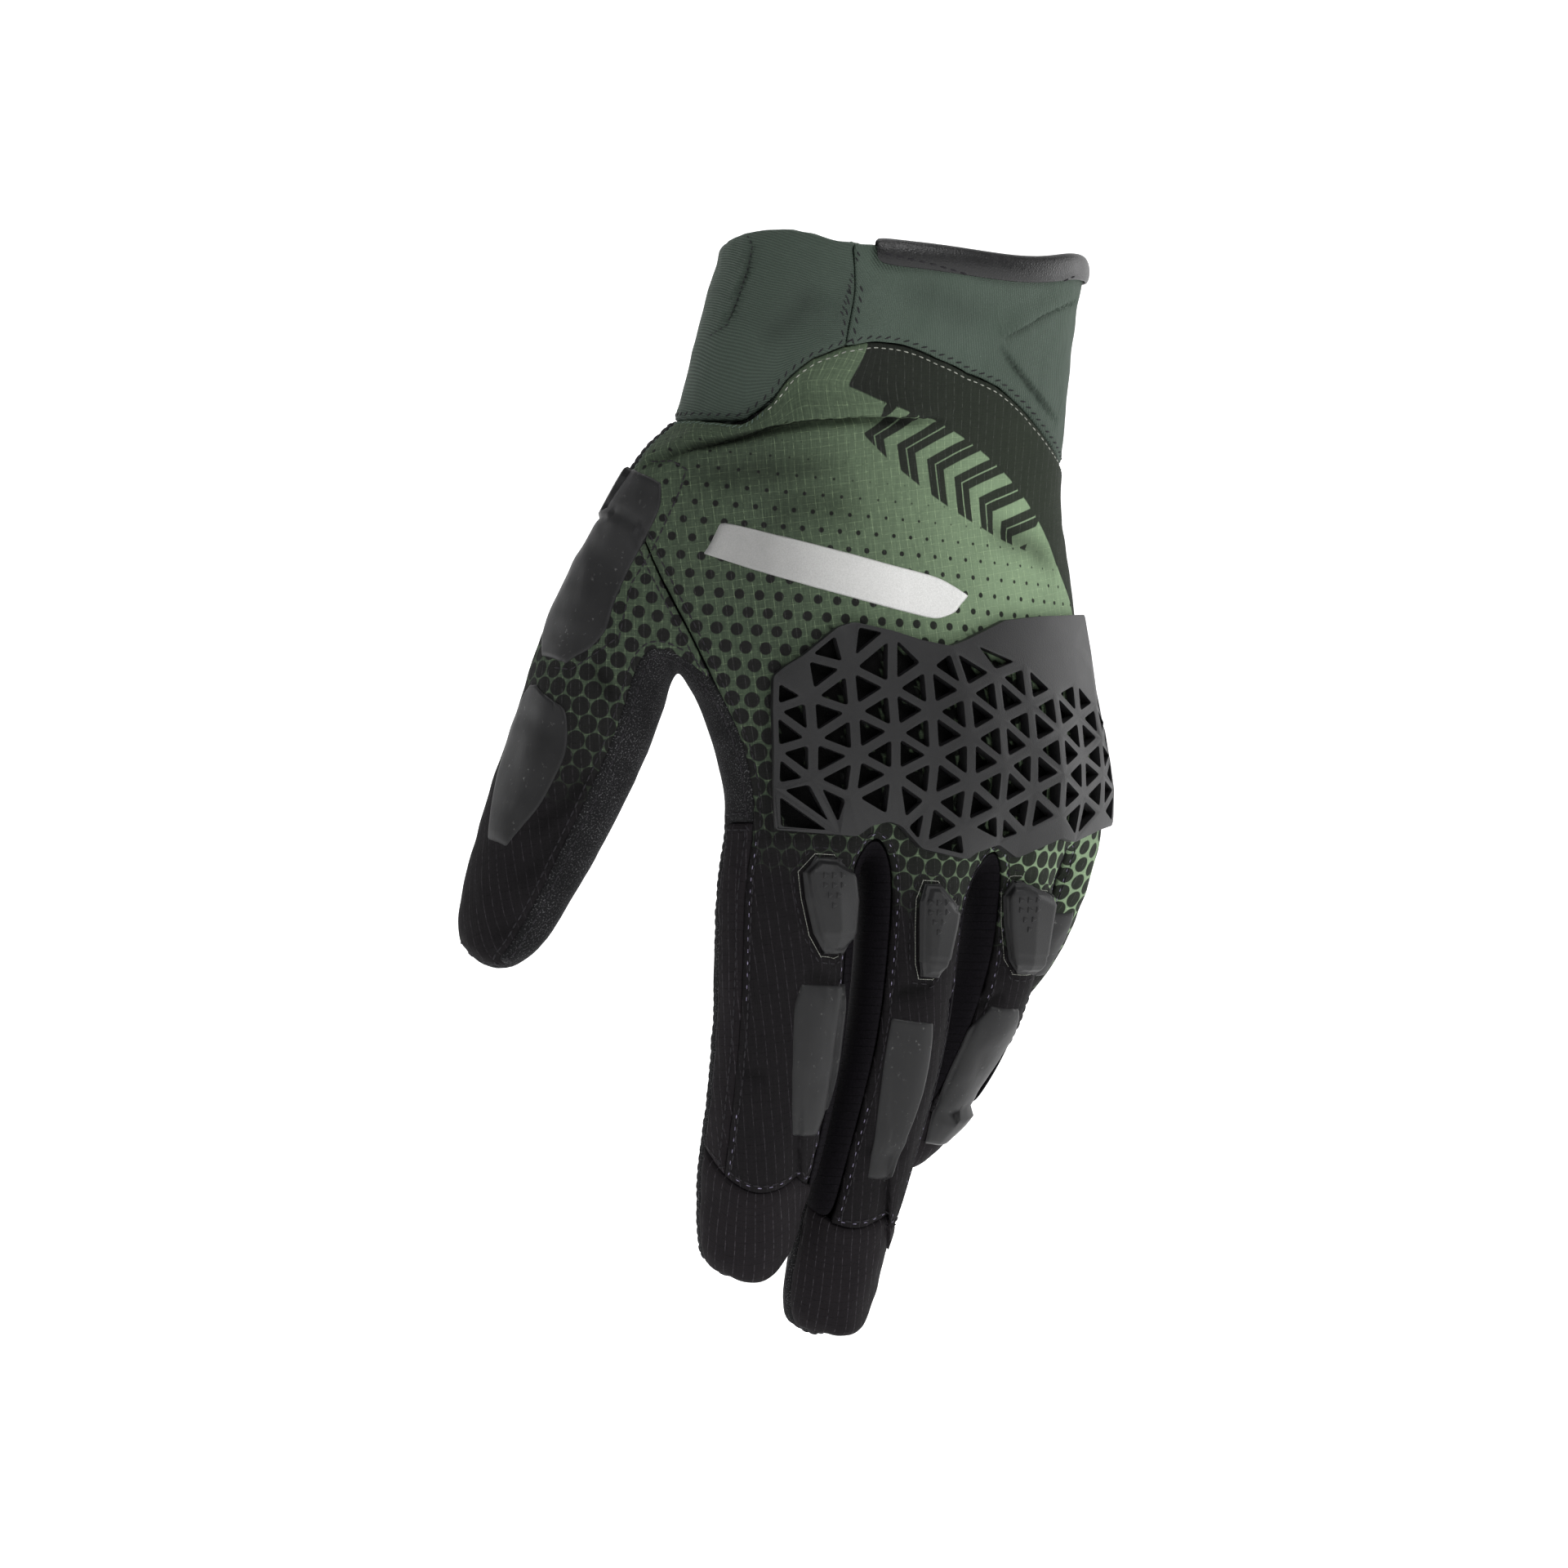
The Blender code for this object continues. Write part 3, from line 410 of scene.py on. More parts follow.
def give_wall(piece, thickness=WALL):
    """Thickens the sheet inwards to the cloth's own wall."""
    alone(piece)
    wall = piece.modifiers.new("wall", "SOLIDIFY")
    wall.thickness, wall.offset = thickness, -1
    bpy.ops.object.modifier_apply(modifier="wall")


def fit(piece, finish, slot, *nodes):
    """Gives the piece its finish, hangs it on the glove and lets it stand for its CAD nodes."""
    piece.data.materials.clear()
    piece.data.materials.append(finish)
    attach(piece, "root")
    if nodes:
        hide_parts(*nodes)
    return piece


class Field:
    """A value that changes over a surface; a sum on it adds its Math nodes."""

    def __init__(self, socket):
        self.socket = socket

    def math(self, operation, *others):
        node = self.socket.id_data.nodes.new("ShaderNodeMath")
        node.operation = operation
        for slot, value in zip(node.inputs, (self, *others)):
            join(slot, value)
        return Field(node.outputs[0])

    def __add__(self, other):
        return self.math("ADD", other)

    def __sub__(self, other):
        return self.math("SUBTRACT", other)

    def __mul__(self, other):
        return self.math("MULTIPLY", other)

    def __truediv__(self, other):
        return self.math("DIVIDE", other)

    def __pow__(self, other):
        return self.math("POWER", other)

    def __rsub__(self, other):
        return self * -1 + other

    __radd__, __rmul__ = __add__, __mul__

    def clear(self):
        """Held between 0 and 1."""
        return self.math("MAXIMUM", 0).math("MINIMUM", 1)

    def repeat(self, size=1):
        """How far it is from the nearest whole number of sizes."""
        return self.math("PINGPONG", size / 2)


def join(slot, value):
    """Links a field to a socket, or sets a plain value on it."""
    if isinstance(value, Field):
        slot.id_data.links.new(value.socket, slot)
    else:
        slot.default_value = value


class Finish:
    """The finish of one material: its surface and the nodes that drive it."""

    def __init__(self, name, **fixed):
        self.material = bpy.data.materials.new(name)
        self.material.use_nodes = True
        self.tree = self.material.node_tree
        self.surface = self.tree.nodes["Principled BSDF"]
        self.set(**fixed)

    def set(self, **values):
        for name, value in values.items():
            join(self.surface.inputs[name.replace("_", " ")], value)

    def node(self, kind, settings=None, sockets=None, out=0):
        made = self.tree.nodes.new(kind)
        for name, value in (settings or {}).items():
            setattr(made, name, value)
        for name, value in (sockets or {}).items():
            join(made.inputs[name], value)
        return Field(made.outputs[out])

    def flat(self):
        """Across and along the flat pattern, in metres."""
        vector = self.node("ShaderNodeUVMap", {"uv_map": "flat"})
        return vector, *self.axes(vector)[:2]

    def place(self):
        """The place on the glove, in metres."""
        vector = self.node("ShaderNodeTexCoord", out="Object")
        return vector, *self.axes(vector)

    def painted(self, name):
        """A value from 0 to 1 that the mesh carries at each vertex."""
        return self.node("ShaderNodeAttribute", {"attribute_name": name}, out="Fac")

    def axes(self, vector):
        parts = self.tree.nodes.new("ShaderNodeSeparateXYZ")
        join(parts.inputs[0], vector)
        return tuple(Field(part) for part in parts.outputs)

    def grain(self, vector, size, detail=2.0, stretch=(1, 1, 1)):
        """Cloudy noise whose spots are that many metres across."""
        turned = self.node("ShaderNodeMapping", sockets={"Vector": vector, "Scale": stretch})
        return self.node("ShaderNodeTexNoise", sockets={
            "Vector": turned, "Scale": 1 / size, "Detail": detail, "Roughness": 0.6}, out="Fac")

    def blend(self, share, first, second):
        """One colour turning into another as the share goes from 0 to 1."""
        made = self.tree.nodes.new("ShaderNodeMix")
        made.data_type = "RGBA"
        join(made.inputs["Factor"], share)
        join(made.inputs[6], first)
        join(made.inputs[7], second)
        return Field(made.outputs[2])

    def relief(self, height, depth, strength=1.0):
        """Raises the surface by the height field, up to a depth in metres."""
        self.set(Normal=self.node("ShaderNodeBump", sockets={
            "Height": height, "Distance": depth, "Strength": strength}))


def ripstop(finish, vector, across, along):
    """The square lattice of thicker threads, both ways, and the fine weave between them."""
    bend = finish.grain(vector, 0.02) * 0.0008
    columns = ((across + along * 0.06 + bend) / RIPSTOP_SQUARE).repeat()
    rows = ((along - across * 0.06 + bend) / (RIPSTOP_SQUARE * 0.85)).repeat()
    patchy = ((finish.grain(vector, 0.0011, 3.0) - 0.40) * 4).clear()
    upright, level = ((1 - thread / 0.07).clear() for thread in (columns, rows))
    warp = finish.grain(vector, 0.0004, 2.0, (1, 0.08, 1))
    weft = finish.grain(vector, 0.0003, 2.0, (0.12, 1, 1))
    return upright * patchy, level * patchy, warp * 0.6 + weft * 0.4


def dots(across, along, radius):
    """The dark dots of the halftone, in staggered rows."""
    turn = math.radians(-8)
    x = across * math.cos(turn) + along * math.sin(turn)
    y = along * math.cos(turn) - across * math.sin(turn)
    row = DOT_PITCH * math.sqrt(3)
    found = None
    for shift in (0, 0.5):
        dx = (x + shift * DOT_PITCH).repeat(DOT_PITCH)
        dy = (y + shift * row).repeat(row)
        far = (dx * dx + dy * dy).math("SQRT")
        found = far if found is None else found.math("MINIMUM", far)
    return ((radius - found) / 0.00022 + 0.5).clear()


def printed_ripstop():
    """Green cloth with dots that grow down the hand until the fingers are black. Its green is painted darker at
    the left and lighter towards the right as painted light, and the creases and the cloth in the guard's holes
    are painted near-black as painted shade.
    """
    cloth = Finish("printed_ripstop", Roughness=0.8, Specular_IOR_Level=0.08)
    vector, across, along = cloth.flat()
    upright, level, weave = ripstop(cloth, vector, across, along)
    cloud = cloth.grain(vector, 0.012)
    radius = (-0.045 - along) * 0.0256 - (across + 0.0477) * 0.0106 + 0.0005
    radius = radius + (cloud - 0.5) * 0.0003
    speck = dots(across, along, radius.math("MINIMUM", 0.00214))
    spare = (radius / 0.0003).clear()
    # Painted light: the green is painted darker at the left and lighter towards the right, and its weave and
    # lattice show more on the lighter side.
    painted_light = ((across + 0.038) / 0.066).clear() ** 1.3
    green = cloth.blend(painted_light, tint(48, 56, 46), tint(118, 138, 110))
    green = cloth.blend((cloud - 0.3).clear() * 0.4, green, tint(52, 66, 50))
    green = cloth.blend(((weave - 0.42) * 3).clear() * (painted_light * 0.35 + 0.12), green, tint(134, 156, 122))
    green = cloth.blend((upright + level * 0.7).clear() * (painted_light * 0.4 + 0.22), green, tint(168, 190, 150))
    black = cloth.blend(weave, tint(12, 11, 12), tint(27, 25, 27))
    black = cloth.blend(level * 0.6, black, tint(5, 5, 5))
    black = cloth.blend(upright * 0.26, black, tint(96, 92, 98))
    fade = ((along + 0.149 + across * 0.36) / 0.018).clear()
    shown = fade * (1 - speck * spare * 0.94) * (1 - angular_print(across, along) * 0.92)
    # Painted shade: the cloth is made near-black where it lies under the guard and along the creases.
    dark = (1 - cloth.painted("painted_guard_shadow")) * (1 - cloth.painted("crease") * 0.9)
    cloth.set(Base_Color=cloth.blend(dark, tint(3, 3, 3), cloth.blend(shown, black, green)))
    cloth.relief((upright + level) * 0.35 + weave * 0.9, 0.00022, 0.9)
    return cloth.material


def angular_print(across, along):
    """A dark band below the cuff seam, and under it herringbone bars with a pale line inside each."""
    turn = math.radians(-31)
    run = (across + 0.0171) * math.cos(turn) + (along + 0.0250) * math.sin(turn)
    side = (along + 0.0250) * math.cos(turn) - (across + 0.0171) * math.sin(turn)
    level = run * (0.062 - run) * 5.2 - 0.0030 - side
    band = (level / -0.0003).clear()
    bars = (run + level.repeat(0.0168) * 0.75).repeat(0.0086)
    dark = ((0.0027 - bars) / 0.00025).clear() * (1 - ((0.00026 - bars) / 0.0001).clear())
    off = (run - 0.034) / 0.030
    reaches = ((0.0152 - off * off * 0.0085 - level) / 0.0003).clear()
    ends = ((run - 0.008) / 0.0003).clear() * ((0.0620 - run) / 0.0003).clear()
    return (band + dark * reaches * ends).clear() * ((run - level * 0.4) / 0.0003).clear()


PRINTED = printed_ripstop()

back_cloth = sheet_from("back_panel", "back_cloth")
flatten(back_cloth)
refine(back_cloth, 3)
bow_seams(back_cloth)
shape_cuff_seam(back_cloth)
crease_cloth(back_cloth, BACK_FOLDS)
settle_cloth(back_cloth)
back_sheet = back_cloth.data.copy()
turn_in(back_cloth)
give_wall(back_cloth)
fit(back_cloth, PRINTED, "printed_ripstop", "back_panel")

thumb_cloth = sheet_from("thumb_panel", "thumb_cloth")
flatten(thumb_cloth)
refine(thumb_cloth, 3)
shape_cuff_seam(thumb_cloth)
crease_cloth(thumb_cloth, THUMB_FOLDS)
settle_cloth(thumb_cloth)
thumb_sheet = thumb_cloth.data.copy()
turn_in(thumb_cloth)
give_wall(thumb_cloth)
fit(thumb_cloth, PRINTED, "printed_ripstop", "thumb_panel")


# The palm. Synthetic suede, one piece for the palm and the inner side of every finger
# and of the thumb, sewn to the back cloth all the way round with dark thread.
PALM_FOLDS = (
    (((-34, -80), (-24, -96), (-20, -116)), 1.0, 2.4, 0.6),
    (((8, -70), (0, -92), (-4, -112)), 0.7, 2.6, 0.5),
    (((-30, -124), (-10, -128), (12, -124)), 0.8, 2.0, 0.6),
    (((-34, -160), (-24, -162), (-14, -160)), 0.7, 1.8, 0.4),
    (((-8, -166), (2, -168), (12, -166)), 0.7, 1.8, 0.4),
    (((-20, -52), (0, -49), (22, -54)), 0.8, 2.6, 0.6),
)


def suede():
    """Short dark nap with pale fibre ends that catch the light."""
    nap = Finish("suede", Roughness=0.95, Specular_IOR_Level=0.1, Sheen_Weight=0.08,
                 Sheen_Roughness=0.35, Sheen_Tint=tint(200, 200, 205))
    vector, *_ = nap.flat()
    fibres = nap.grain(vector, 0.00034, 2.0)
    clouds = nap.grain(vector, 0.009, 3.0)
    pale = ((fibres - 0.55) * 9).clear() * (clouds * 1.6 - 0.3).clear()
    dark = nap.blend(clouds, tint(14, 14, 15), tint(30, 30, 31))
    nap.set(Base_Color=nap.blend(pale * 0.6, dark, tint(120, 120, 122)))
    nap.relief(fibres, 0.00022, 0.9)
    return nap.material


palm_cloth = sheet_from("palm_panel", "palm_cloth")
flatten(palm_cloth, (-1, 0, 0))
refine(palm_cloth, 2)
bow_seams(palm_cloth)
shape_cuff_seam(palm_cloth)
crease_cloth(palm_cloth, PALM_FOLDS, view=1)
settle_cloth(palm_cloth)
palm_sheet = palm_cloth.data.copy()
turn_in(palm_cloth)
give_wall(palm_cloth)
fit(palm_cloth, suede(), "suede", "palm_panel")


# The finger cloths. Black ripstop for the side of the index and for the four fingertips,
# with a thin purple-black cloth for the gussets between the fingers.
FINGER_CLOTHS = ("index_side", "index_tip", "middle_tip", "ring_tip", "little_tip")
GUSSETS = ("gusset_1", "gusset_2", "gusset_3")


def black_ripstop():
    """Near-black cloth with fine dark cross threads and a pale square lattice."""
    cloth = Finish("black_ripstop", Roughness=0.8, Specular_IOR_Level=0.08)
    vector, across, along = cloth.flat()
    upright, level, weave = ripstop(cloth, vector, across, along)
    cloud = cloth.grain(vector, 0.010)
    ground = cloth.blend(cloud, tint(12, 11, 12), tint(25, 22, 24))
    ground = cloth.blend(weave * 0.6, ground, tint(34, 31, 34))
    ground = cloth.blend(level * 0.7, ground, tint(4, 4, 4))
    cloth.set(Base_Color=cloth.blend(upright * 0.34, ground, tint(104, 100, 106)))
    cloth.relief((upright + level) * 0.5 + weave * 0.8, 0.00020, 0.9)
    return cloth.material


def gusset_cloth():
    """Thin near-black stretch cloth with faint rows across it."""
    cloth = Finish("gusset_cloth", Roughness=0.8, Specular_IOR_Level=0.06)
    vector, _, _, along = cloth.place()
    grain = cloth.grain(vector, 0.0005)
    rows = (1 - (along / 0.0018).repeat() / 0.07).clear()
    ground = cloth.blend(grain, tint(7, 6, 8), tint(22, 20, 24))
    cloth.set(Base_Color=cloth.blend(rows * 0.6, ground, tint(3, 3, 3)))
    cloth.relief(rows + grain, 0.00015, 0.7)
    return cloth.material


def whole_from(node, name):
    """A CAD piece on all its sides, welded and in quads."""
    piece = bpy.data.objects.new(name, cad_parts[node].data.copy())
    piece.data.materials.clear()
    bpy.context.scene.collection.objects.link(piece)
    alone(piece, "EDIT")
    bpy.ops.mesh.select_all(action="SELECT")
    bpy.ops.mesh.remove_doubles(threshold=WELD)
    bpy.ops.mesh.tris_convert_to_quads(face_threshold=math.radians(60), shape_threshold=math.radians(60))
    return alone(piece)


BLACK = black_ripstop()
finger_sheets = {}
for node in FINGER_CLOTHS:
    cloth = sheet_from(node, node + "_cloth")
    flatten(cloth)
    refine(cloth, 3)
    bow_seams(cloth)
    settle_cloth(cloth)
    finger_sheets[node] = cloth.data.copy()
    turn_in(cloth)
    give_wall(cloth)
    fit(cloth, BLACK, "black_ripstop", node)
GUSSET = gusset_cloth()
for node in GUSSETS:
    cloth = whole_from(node, node + "_cloth")
    refine(cloth, 2)
    fit(cloth, GUSSET, "gusset_cloth", node)


# The cuff. Close-knit stretch cloth with fine ribs, its tab lapped on the left side,
# and a moulded pad pressed up from inside at the right.
CUFF_FOLDS = (
    (((41, -10), (35, -12.6), (28, -17), (22.5, -20.7)), 0.5, 1.0, 1.0),
    (((22.5, -20.7), (28, -27.4), (33.3, -33.3), (37.6, -38.3)), 0.7, 0.8, 0.3),
    (((0, -8), (14, -14), (24, -14)), 0.3, 4.0, 0.3),
)
TAB_FOLDS = (
    (((-32.6, 2.5), (-31.1, -0.5), (-32.2, -5.9), (-34.7, -13.0), (-36.7, -17.6), (-41.2, -20.2)),
     0.5, 0.7, 0.3),
    (((-30, -22), (-22, -16), (-16, -8)), 0.4, 3.5, 0.4),
)


def stretch_knit():
    """Fine slanting ribs, painted darker at the left and lighter and greener towards the right as painted light,
    with painted shade along the creases.
    """
    knit = Finish("stretch_knit", Roughness=0.72, Specular_IOR_Level=0.2, Sheen_Weight=0.06,
                  Sheen_Roughness=0.4, Sheen_Tint=tint(150, 190, 165))
    vector, across, along = knit.flat()
    bend = knit.grain(vector, 0.03) * 0.004
    ribs = ((along + across * 0.22 + bend) / 0.00056).repeat() * 2
    loops = ((across - along * 0.22) / 0.00048).repeat() * 2
    cloud = knit.grain(vector, 0.016, 3.0)
    grain = knit.grain(vector, 0.0005)
    # Painted light: the knit is painted lighter and greener towards the right.
    painted_light = ((across + 0.045) / 0.085).clear()
    ground = knit.blend(painted_light, tint(21, 24, 21), tint(66, 76, 68))
    ground = knit.blend(cloud * 0.3, ground, tint(38, 54, 44))
    ground = knit.blend(ribs * 0.35 + grain * 0.15, ground, tint(76, 90, 80))
    # Painted shade: the creases are painted dark.
    knit.set(Base_Color=knit.blend(knit.painted("crease") * 0.75, ground, tint(14, 18, 16)))
    knit.relief(ribs * (loops * 0.4 + 0.6), 0.00020, 0.9)
    return knit.material


KNIT = stretch_knit()
cuff_knit = sheet_from("cuff", "cuff_knit")
tab_knit = sheet_from("cuff_tab", "tab_knit")
for knit, folds in ((cuff_knit, CUFF_FOLDS), (tab_knit, TAB_FOLDS)):
    flatten(knit)
    refine(knit, 4)
    shape_cuff_seam(knit)
    crease_cloth(knit, folds)
    settle_cloth(knit)
cuff_sheet, tab_sheet = cuff_knit.data.copy(), tab_knit.data.copy()
for knit, node in ((cuff_knit, "cuff"), (tab_knit, "cuff_tab")):
    turn_in(knit)
    give_wall(knit)
    fit(knit, KNIT, "stretch_knit", node)


# The binding. A strip of thin black synthetic leather, rolled over the raw edge of the
# cuff mouth and sewn through along its lower side.
def leather():
    """Black, fairly glossy, with a fine pebble grain and cloudy patches of tone and gloss."""
    hide = Finish("binding_leather", Specular_IOR_Level=0.35)
    vector, *_ = hide.place()
    pebble = hide.node("ShaderNodeTexVoronoi", {"feature": "DISTANCE_TO_EDGE"},
                       {"Vector": vector, "Scale": 1600.0}, out="Distance")
    cloud = hide.grain(vector, 0.006)
    hide.set(Base_Color=hide.blend(cloud, tint(6, 6, 7), tint(16, 16, 17)), Roughness=cloud * 0.2 + 0.28)
    hide.relief(pebble, 0.0002, 0.5)
    return hide.material


binding = whole_from("cuff_binding", "cuff_binding_roll")
refine(binding, 3)
binding_sheet = binding.data.copy()
fit(binding, leather(), "binding_leather", "cuff_binding")


# The knuckle guard. One soft rubber moulding with a lattice of struts, satin on top,
# which is bonded to the back cloth by its rim.
COVER_REACH, STRUT_MIDDLE = 0.0040, 0.0018
HOLE_ROUND, EDGE_SOFTNESS = 0.0008, 0.00042


def moulded_rubber():
    """Satin charcoal rubber, cloudy in tone, with a fine moulded grain."""
    rubber = Finish("moulded_rubber", Specular_IOR_Level=0.3)
    vector, *_ = rubber.place()
    fine = rubber.grain(vector, 0.0003)
    cloud = rubber.grain(vector, 0.008, 3.0)
    rubber.set(Base_Color=rubber.blend(cloud, tint(17, 17, 18), tint(29, 29, 30)),
               Roughness=cloud * 0.16 + 0.42)
    rubber.relief(fine, 0.00008, 0.6)
    return rubber.material


def shadow_under(cloth, lattice):
    """Marks the cloth that lies in the lattice's holes, to be painted near-black there as painted shadow from the
    guard.
    """
    struts = bed_of(lattice.data)
    places, normals = points_of(cloth)
    painted_guard_shadow = np.zeros(len(places), np.float32)
    for index, (place, normal) in enumerate(zip(places, normals)):
        if struts.find_nearest(Vector(place), COVER_REACH)[0]:
            up = Vector(normal)
            side = up.cross(Vector((0, 0, 1))).normalized()
            start = Vector(place) + up * STRUT_MIDDLE
            ways = (side, -side, up.cross(side), side.cross(up))
            painted_guard_shadow[index] = all(struts.ray_cast(start, way, COVER_REACH * 2.5)[0] for way in ways)
    cloth.data.attributes.new("painted_guard_shadow", "FLOAT", "POINT").data.foreach_set("value", painted_guard_shadow)


RUBBER = moulded_rubber()
BACK_BED = bed_of(back_sheet)
guard = whole_from("knuckle_guard", "knuckle_guard_lattice")
alone(guard, "EDIT")
bpy.ops.mesh.select_mode(type="EDGE")
bpy.ops.mesh.select_all(action="DESELECT")
shape = bmesh.from_edit_mesh(guard.data)
for edge in shape.edges:
    normal = BACK_BED.find_nearest((edge.verts[0].co + edge.verts[1].co) / 2)[1]
    through = abs((edge.verts[1].co - edge.verts[0].co).normalized().dot(normal)) > 0.8
    edge.select_set(through and edge.calc_face_angle(0) > math.radians(20))
bmesh.update_edit_mesh(guard.data)
bpy.ops.mesh.bevel(offset=HOLE_ROUND, segments=3)
alone(guard)
softener = guard.modifiers.new("soften", "BEVEL")
softener.width, softener.segments, softener.angle_limit = EDGE_SOFTNESS, 3, math.radians(35)
bpy.ops.object.modifier_apply(modifier="soften")
bpy.ops.object.shade_smooth_by_angle(angle=math.radians(50))
fit(guard, RUBBER, "moulded_rubber", "knuckle_guard")
# Painted shadow: the back cloth under the guard is marked so that its finish paints it near-black.
shadow_under(back_cloth, guard)


# The finger inserts. Three small moulded rubber shields, each set in a stitched window
# of the back cloth above a finger's first joint, with a raised face and grip pips.
INSERTS = ("index", "middle", "ring")
FLANGE, SLOPE, FACE_HEIGHT, INSERT_SEAT, INSERT_WALL = 0.0011, 0.0010, 0.0008, 0.0005, 0.0008
PIP_ROWS, PIP_PITCH, PIP_SIZE = (3, 3, 2, 1), 0.0019, 0.00085


def lay_on(piece, bed, heights):
    """Sets every vertex on the bed straight below it, raised by its own height."""
    places, normals = points_of(piece)
    for index, (place, normal) in enumerate(zip(places, normals)):
        down = Vector(-normal)
        hit = bed.ray_cast(Vector(place) - down * 0.001, down, 0.006)[0]
        places[index] = (hit or Vector(place) + down * 0.0012) - down * heights[index]
    put_points(piece, places)


def pip_shape():
    """One grip pip: a small three-sided stud with a flat top."""
    bpy.ops.object.select_all(action="DESELECT")
    bpy.ops.mesh.primitive_cone_add(vertices=3, radius1=PIP_SIZE * 1.25, radius2=PIP_SIZE * 0.8, depth=0.0006,
                                    rotation=(0, 0, math.pi / 6))
    stud = bpy.context.object
    bpy.ops.object.transform_apply()
    bpy.ops.object.mode_set(mode="EDIT")
    bpy.ops.mesh.select_all(action="SELECT")
    bpy.ops.mesh.bevel(offset=PIP_SIZE * 0.22, segments=2)
    bpy.ops.object.mode_set(mode="OBJECT")
    mesh = stud.data.copy()
    bpy.data.objects.remove(stud)
    return mesh


def scatter(name, mesh, places):
    """Copies a small shape to every place, as one piece."""
    made = bmesh.new()
    for place in places:
        old = len(made.verts)
        made.from_mesh(mesh)
        made.verts.ensure_lookup_table()
        bmesh.ops.transform(made, matrix=place, verts=made.verts[old:])
    piece = bpy.data.objects.new(name, bpy.data.meshes.new(name))
    made.to_mesh(piece.data)
    bpy.context.scene.collection.objects.link(piece)
    return alone(piece)


PIP = pip_shape()
insert_outlines = {}
for finger in INSERTS:
    shield = sheet_from("knuckle_insert_" + finger, "insert_" + finger, 35)
    insert_outlines[finger] = shield.data.copy()
    refine(shield, 4, "SIMPLE")
    gap = border_gap(shield)
    places, normals = points_of(shield)
    low, high = places[:, 2].min(), places[:, 2].max()
    face = np.clip((gap - FLANGE) / SLOPE, 0, 1)
    step = 1 - 0.35 * (places[:, 2] < low + 0.22 * (high - low))
    heights = np.where(gap < 0.0003, -0.0005, 0.0005 + FACE_HEIGHT * face * step)
    put_points(shield, places + normals * (heights - INSERT_SEAT)[:, None])
    face_bed = bed_of(shield.data)
    give_wall(shield, INSERT_WALL)
    bpy.ops.object.shade_smooth_by_angle(angle=math.radians(32))
    fit(shield, RUBBER, "moulded_rubber", "knuckle_insert_" + finger)
    crown, _ = points_of(shield)
    middle = crown.mean(axis=0)
    studs = []
    for row, count in enumerate(PIP_ROWS):
        for stud in range(count):
            x = middle[0] + (stud - (count - 1) / 2) * PIP_PITCH
            z = high - 0.0042 - row * PIP_PITCH * 1.15
            hit, normal = face_bed.ray_cast(Vector((x, -0.3, z)), Vector((0, 1, 0)))[:2]
            if hit:
                studs.append(Matrix.Translation(hit) @ normal.to_track_quat("Z", "Y").to_matrix().to_4x4())
    pips = scatter("insert_pips_" + finger, PIP, studs)
    bpy.ops.object.shade_smooth_by_angle(angle=math.radians(40))
    fit(pips, RUBBER, "moulded_rubber")


# The prints. Thin smooth rubber, printed on the cloth of the fingers and the thumb so
# that it bends with it, worn and dusty in a few spots.
PRINTS = ("finger_print_index", "finger_print_middle", "finger_print_ring", "finger_print_little",
          "thumb_print_upper", "thumb_print_lower")
PRINT_HEIGHT, PRINT_EDGE, PRINT_SINK, PRINT_WALL = 0.00045, 0.0007, 0.0001, 0.0005


def printed_rubber():
    """Smooth dark rubber, faintly dusty, with fine scratches."""
    rubber = Finish("printed_rubber", Specular_IOR_Level=0.25)
    vector, *_ = rubber.place()
    dust = rubber.grain(vector, 0.0012, 6.0)
    cloud = rubber.grain(vector, 0.009, 2.0)
    scratch = rubber.grain(vector, 0.0007, 2.0, (1, 1, 0.12))
    worn = ((dust - 0.62) * 9).clear() * (cloud * 3 - 1.1).clear()
    ground = rubber.blend(cloud, tint(15, 15, 16), tint(30, 30, 31))
    rubber.set(Base_Color=rubber.blend(worn * 0.5, ground, tint(120, 120, 118)),
               Roughness=cloud * 0.2 + 0.38)
    rubber.relief(cloud * 0.6 + scratch * 0.4, 0.0001, 0.5)
    return rubber.material


PRINTED_RUBBER = printed_rubber()
CLOTH_BED = bed_of(back_sheet, thumb_sheet)
for node in PRINTS:
    film = sheet_from(node, node + "_film")
    refine(refine(film, 1, "SIMPLE"), 2)
    gap = border_gap(film)
    lay_on(film, CLOTH_BED, PRINT_HEIGHT * np.clip(gap / PRINT_EDGE, 0, 1) ** 0.5 - PRINT_SINK)
    give_wall(film, PRINT_WALL)
    fit(film, PRINTED_RUBBER, "printed_rubber", node)


# The badge. A strip of silver reflective film pressed on the back of the hand, left
# plain, with its small glass beads showing as a sparkle.
def reflective_film():
    """Silver film with a fine grain of glass beads, painted darker at the left and lighter at the right as
    painted light.
    """
    film = Finish("reflective_film", Metallic=0.15)
    vector, across, *_ = film.place()
    beads = film.grain(vector, 0.0003, 3.0)
    cloud = film.grain(vector, 0.006)
    # Painted light: the film is painted lighter towards the right and darker towards the left.
    painted_light = ((across + 0.028) / 0.030).clear()
    shaded_side = film.blend(beads * 0.7 + cloud * 0.3, tint(104, 104, 103), tint(150, 150, 148))
    film.set(Base_Color=film.blend(painted_light, shaded_side, film.blend(beads, tint(168, 168, 166), tint(226, 226, 224))),
             Roughness=beads * 0.3 + 0.38)
    film.relief(beads, 0.00008, 0.6)
    return film.material


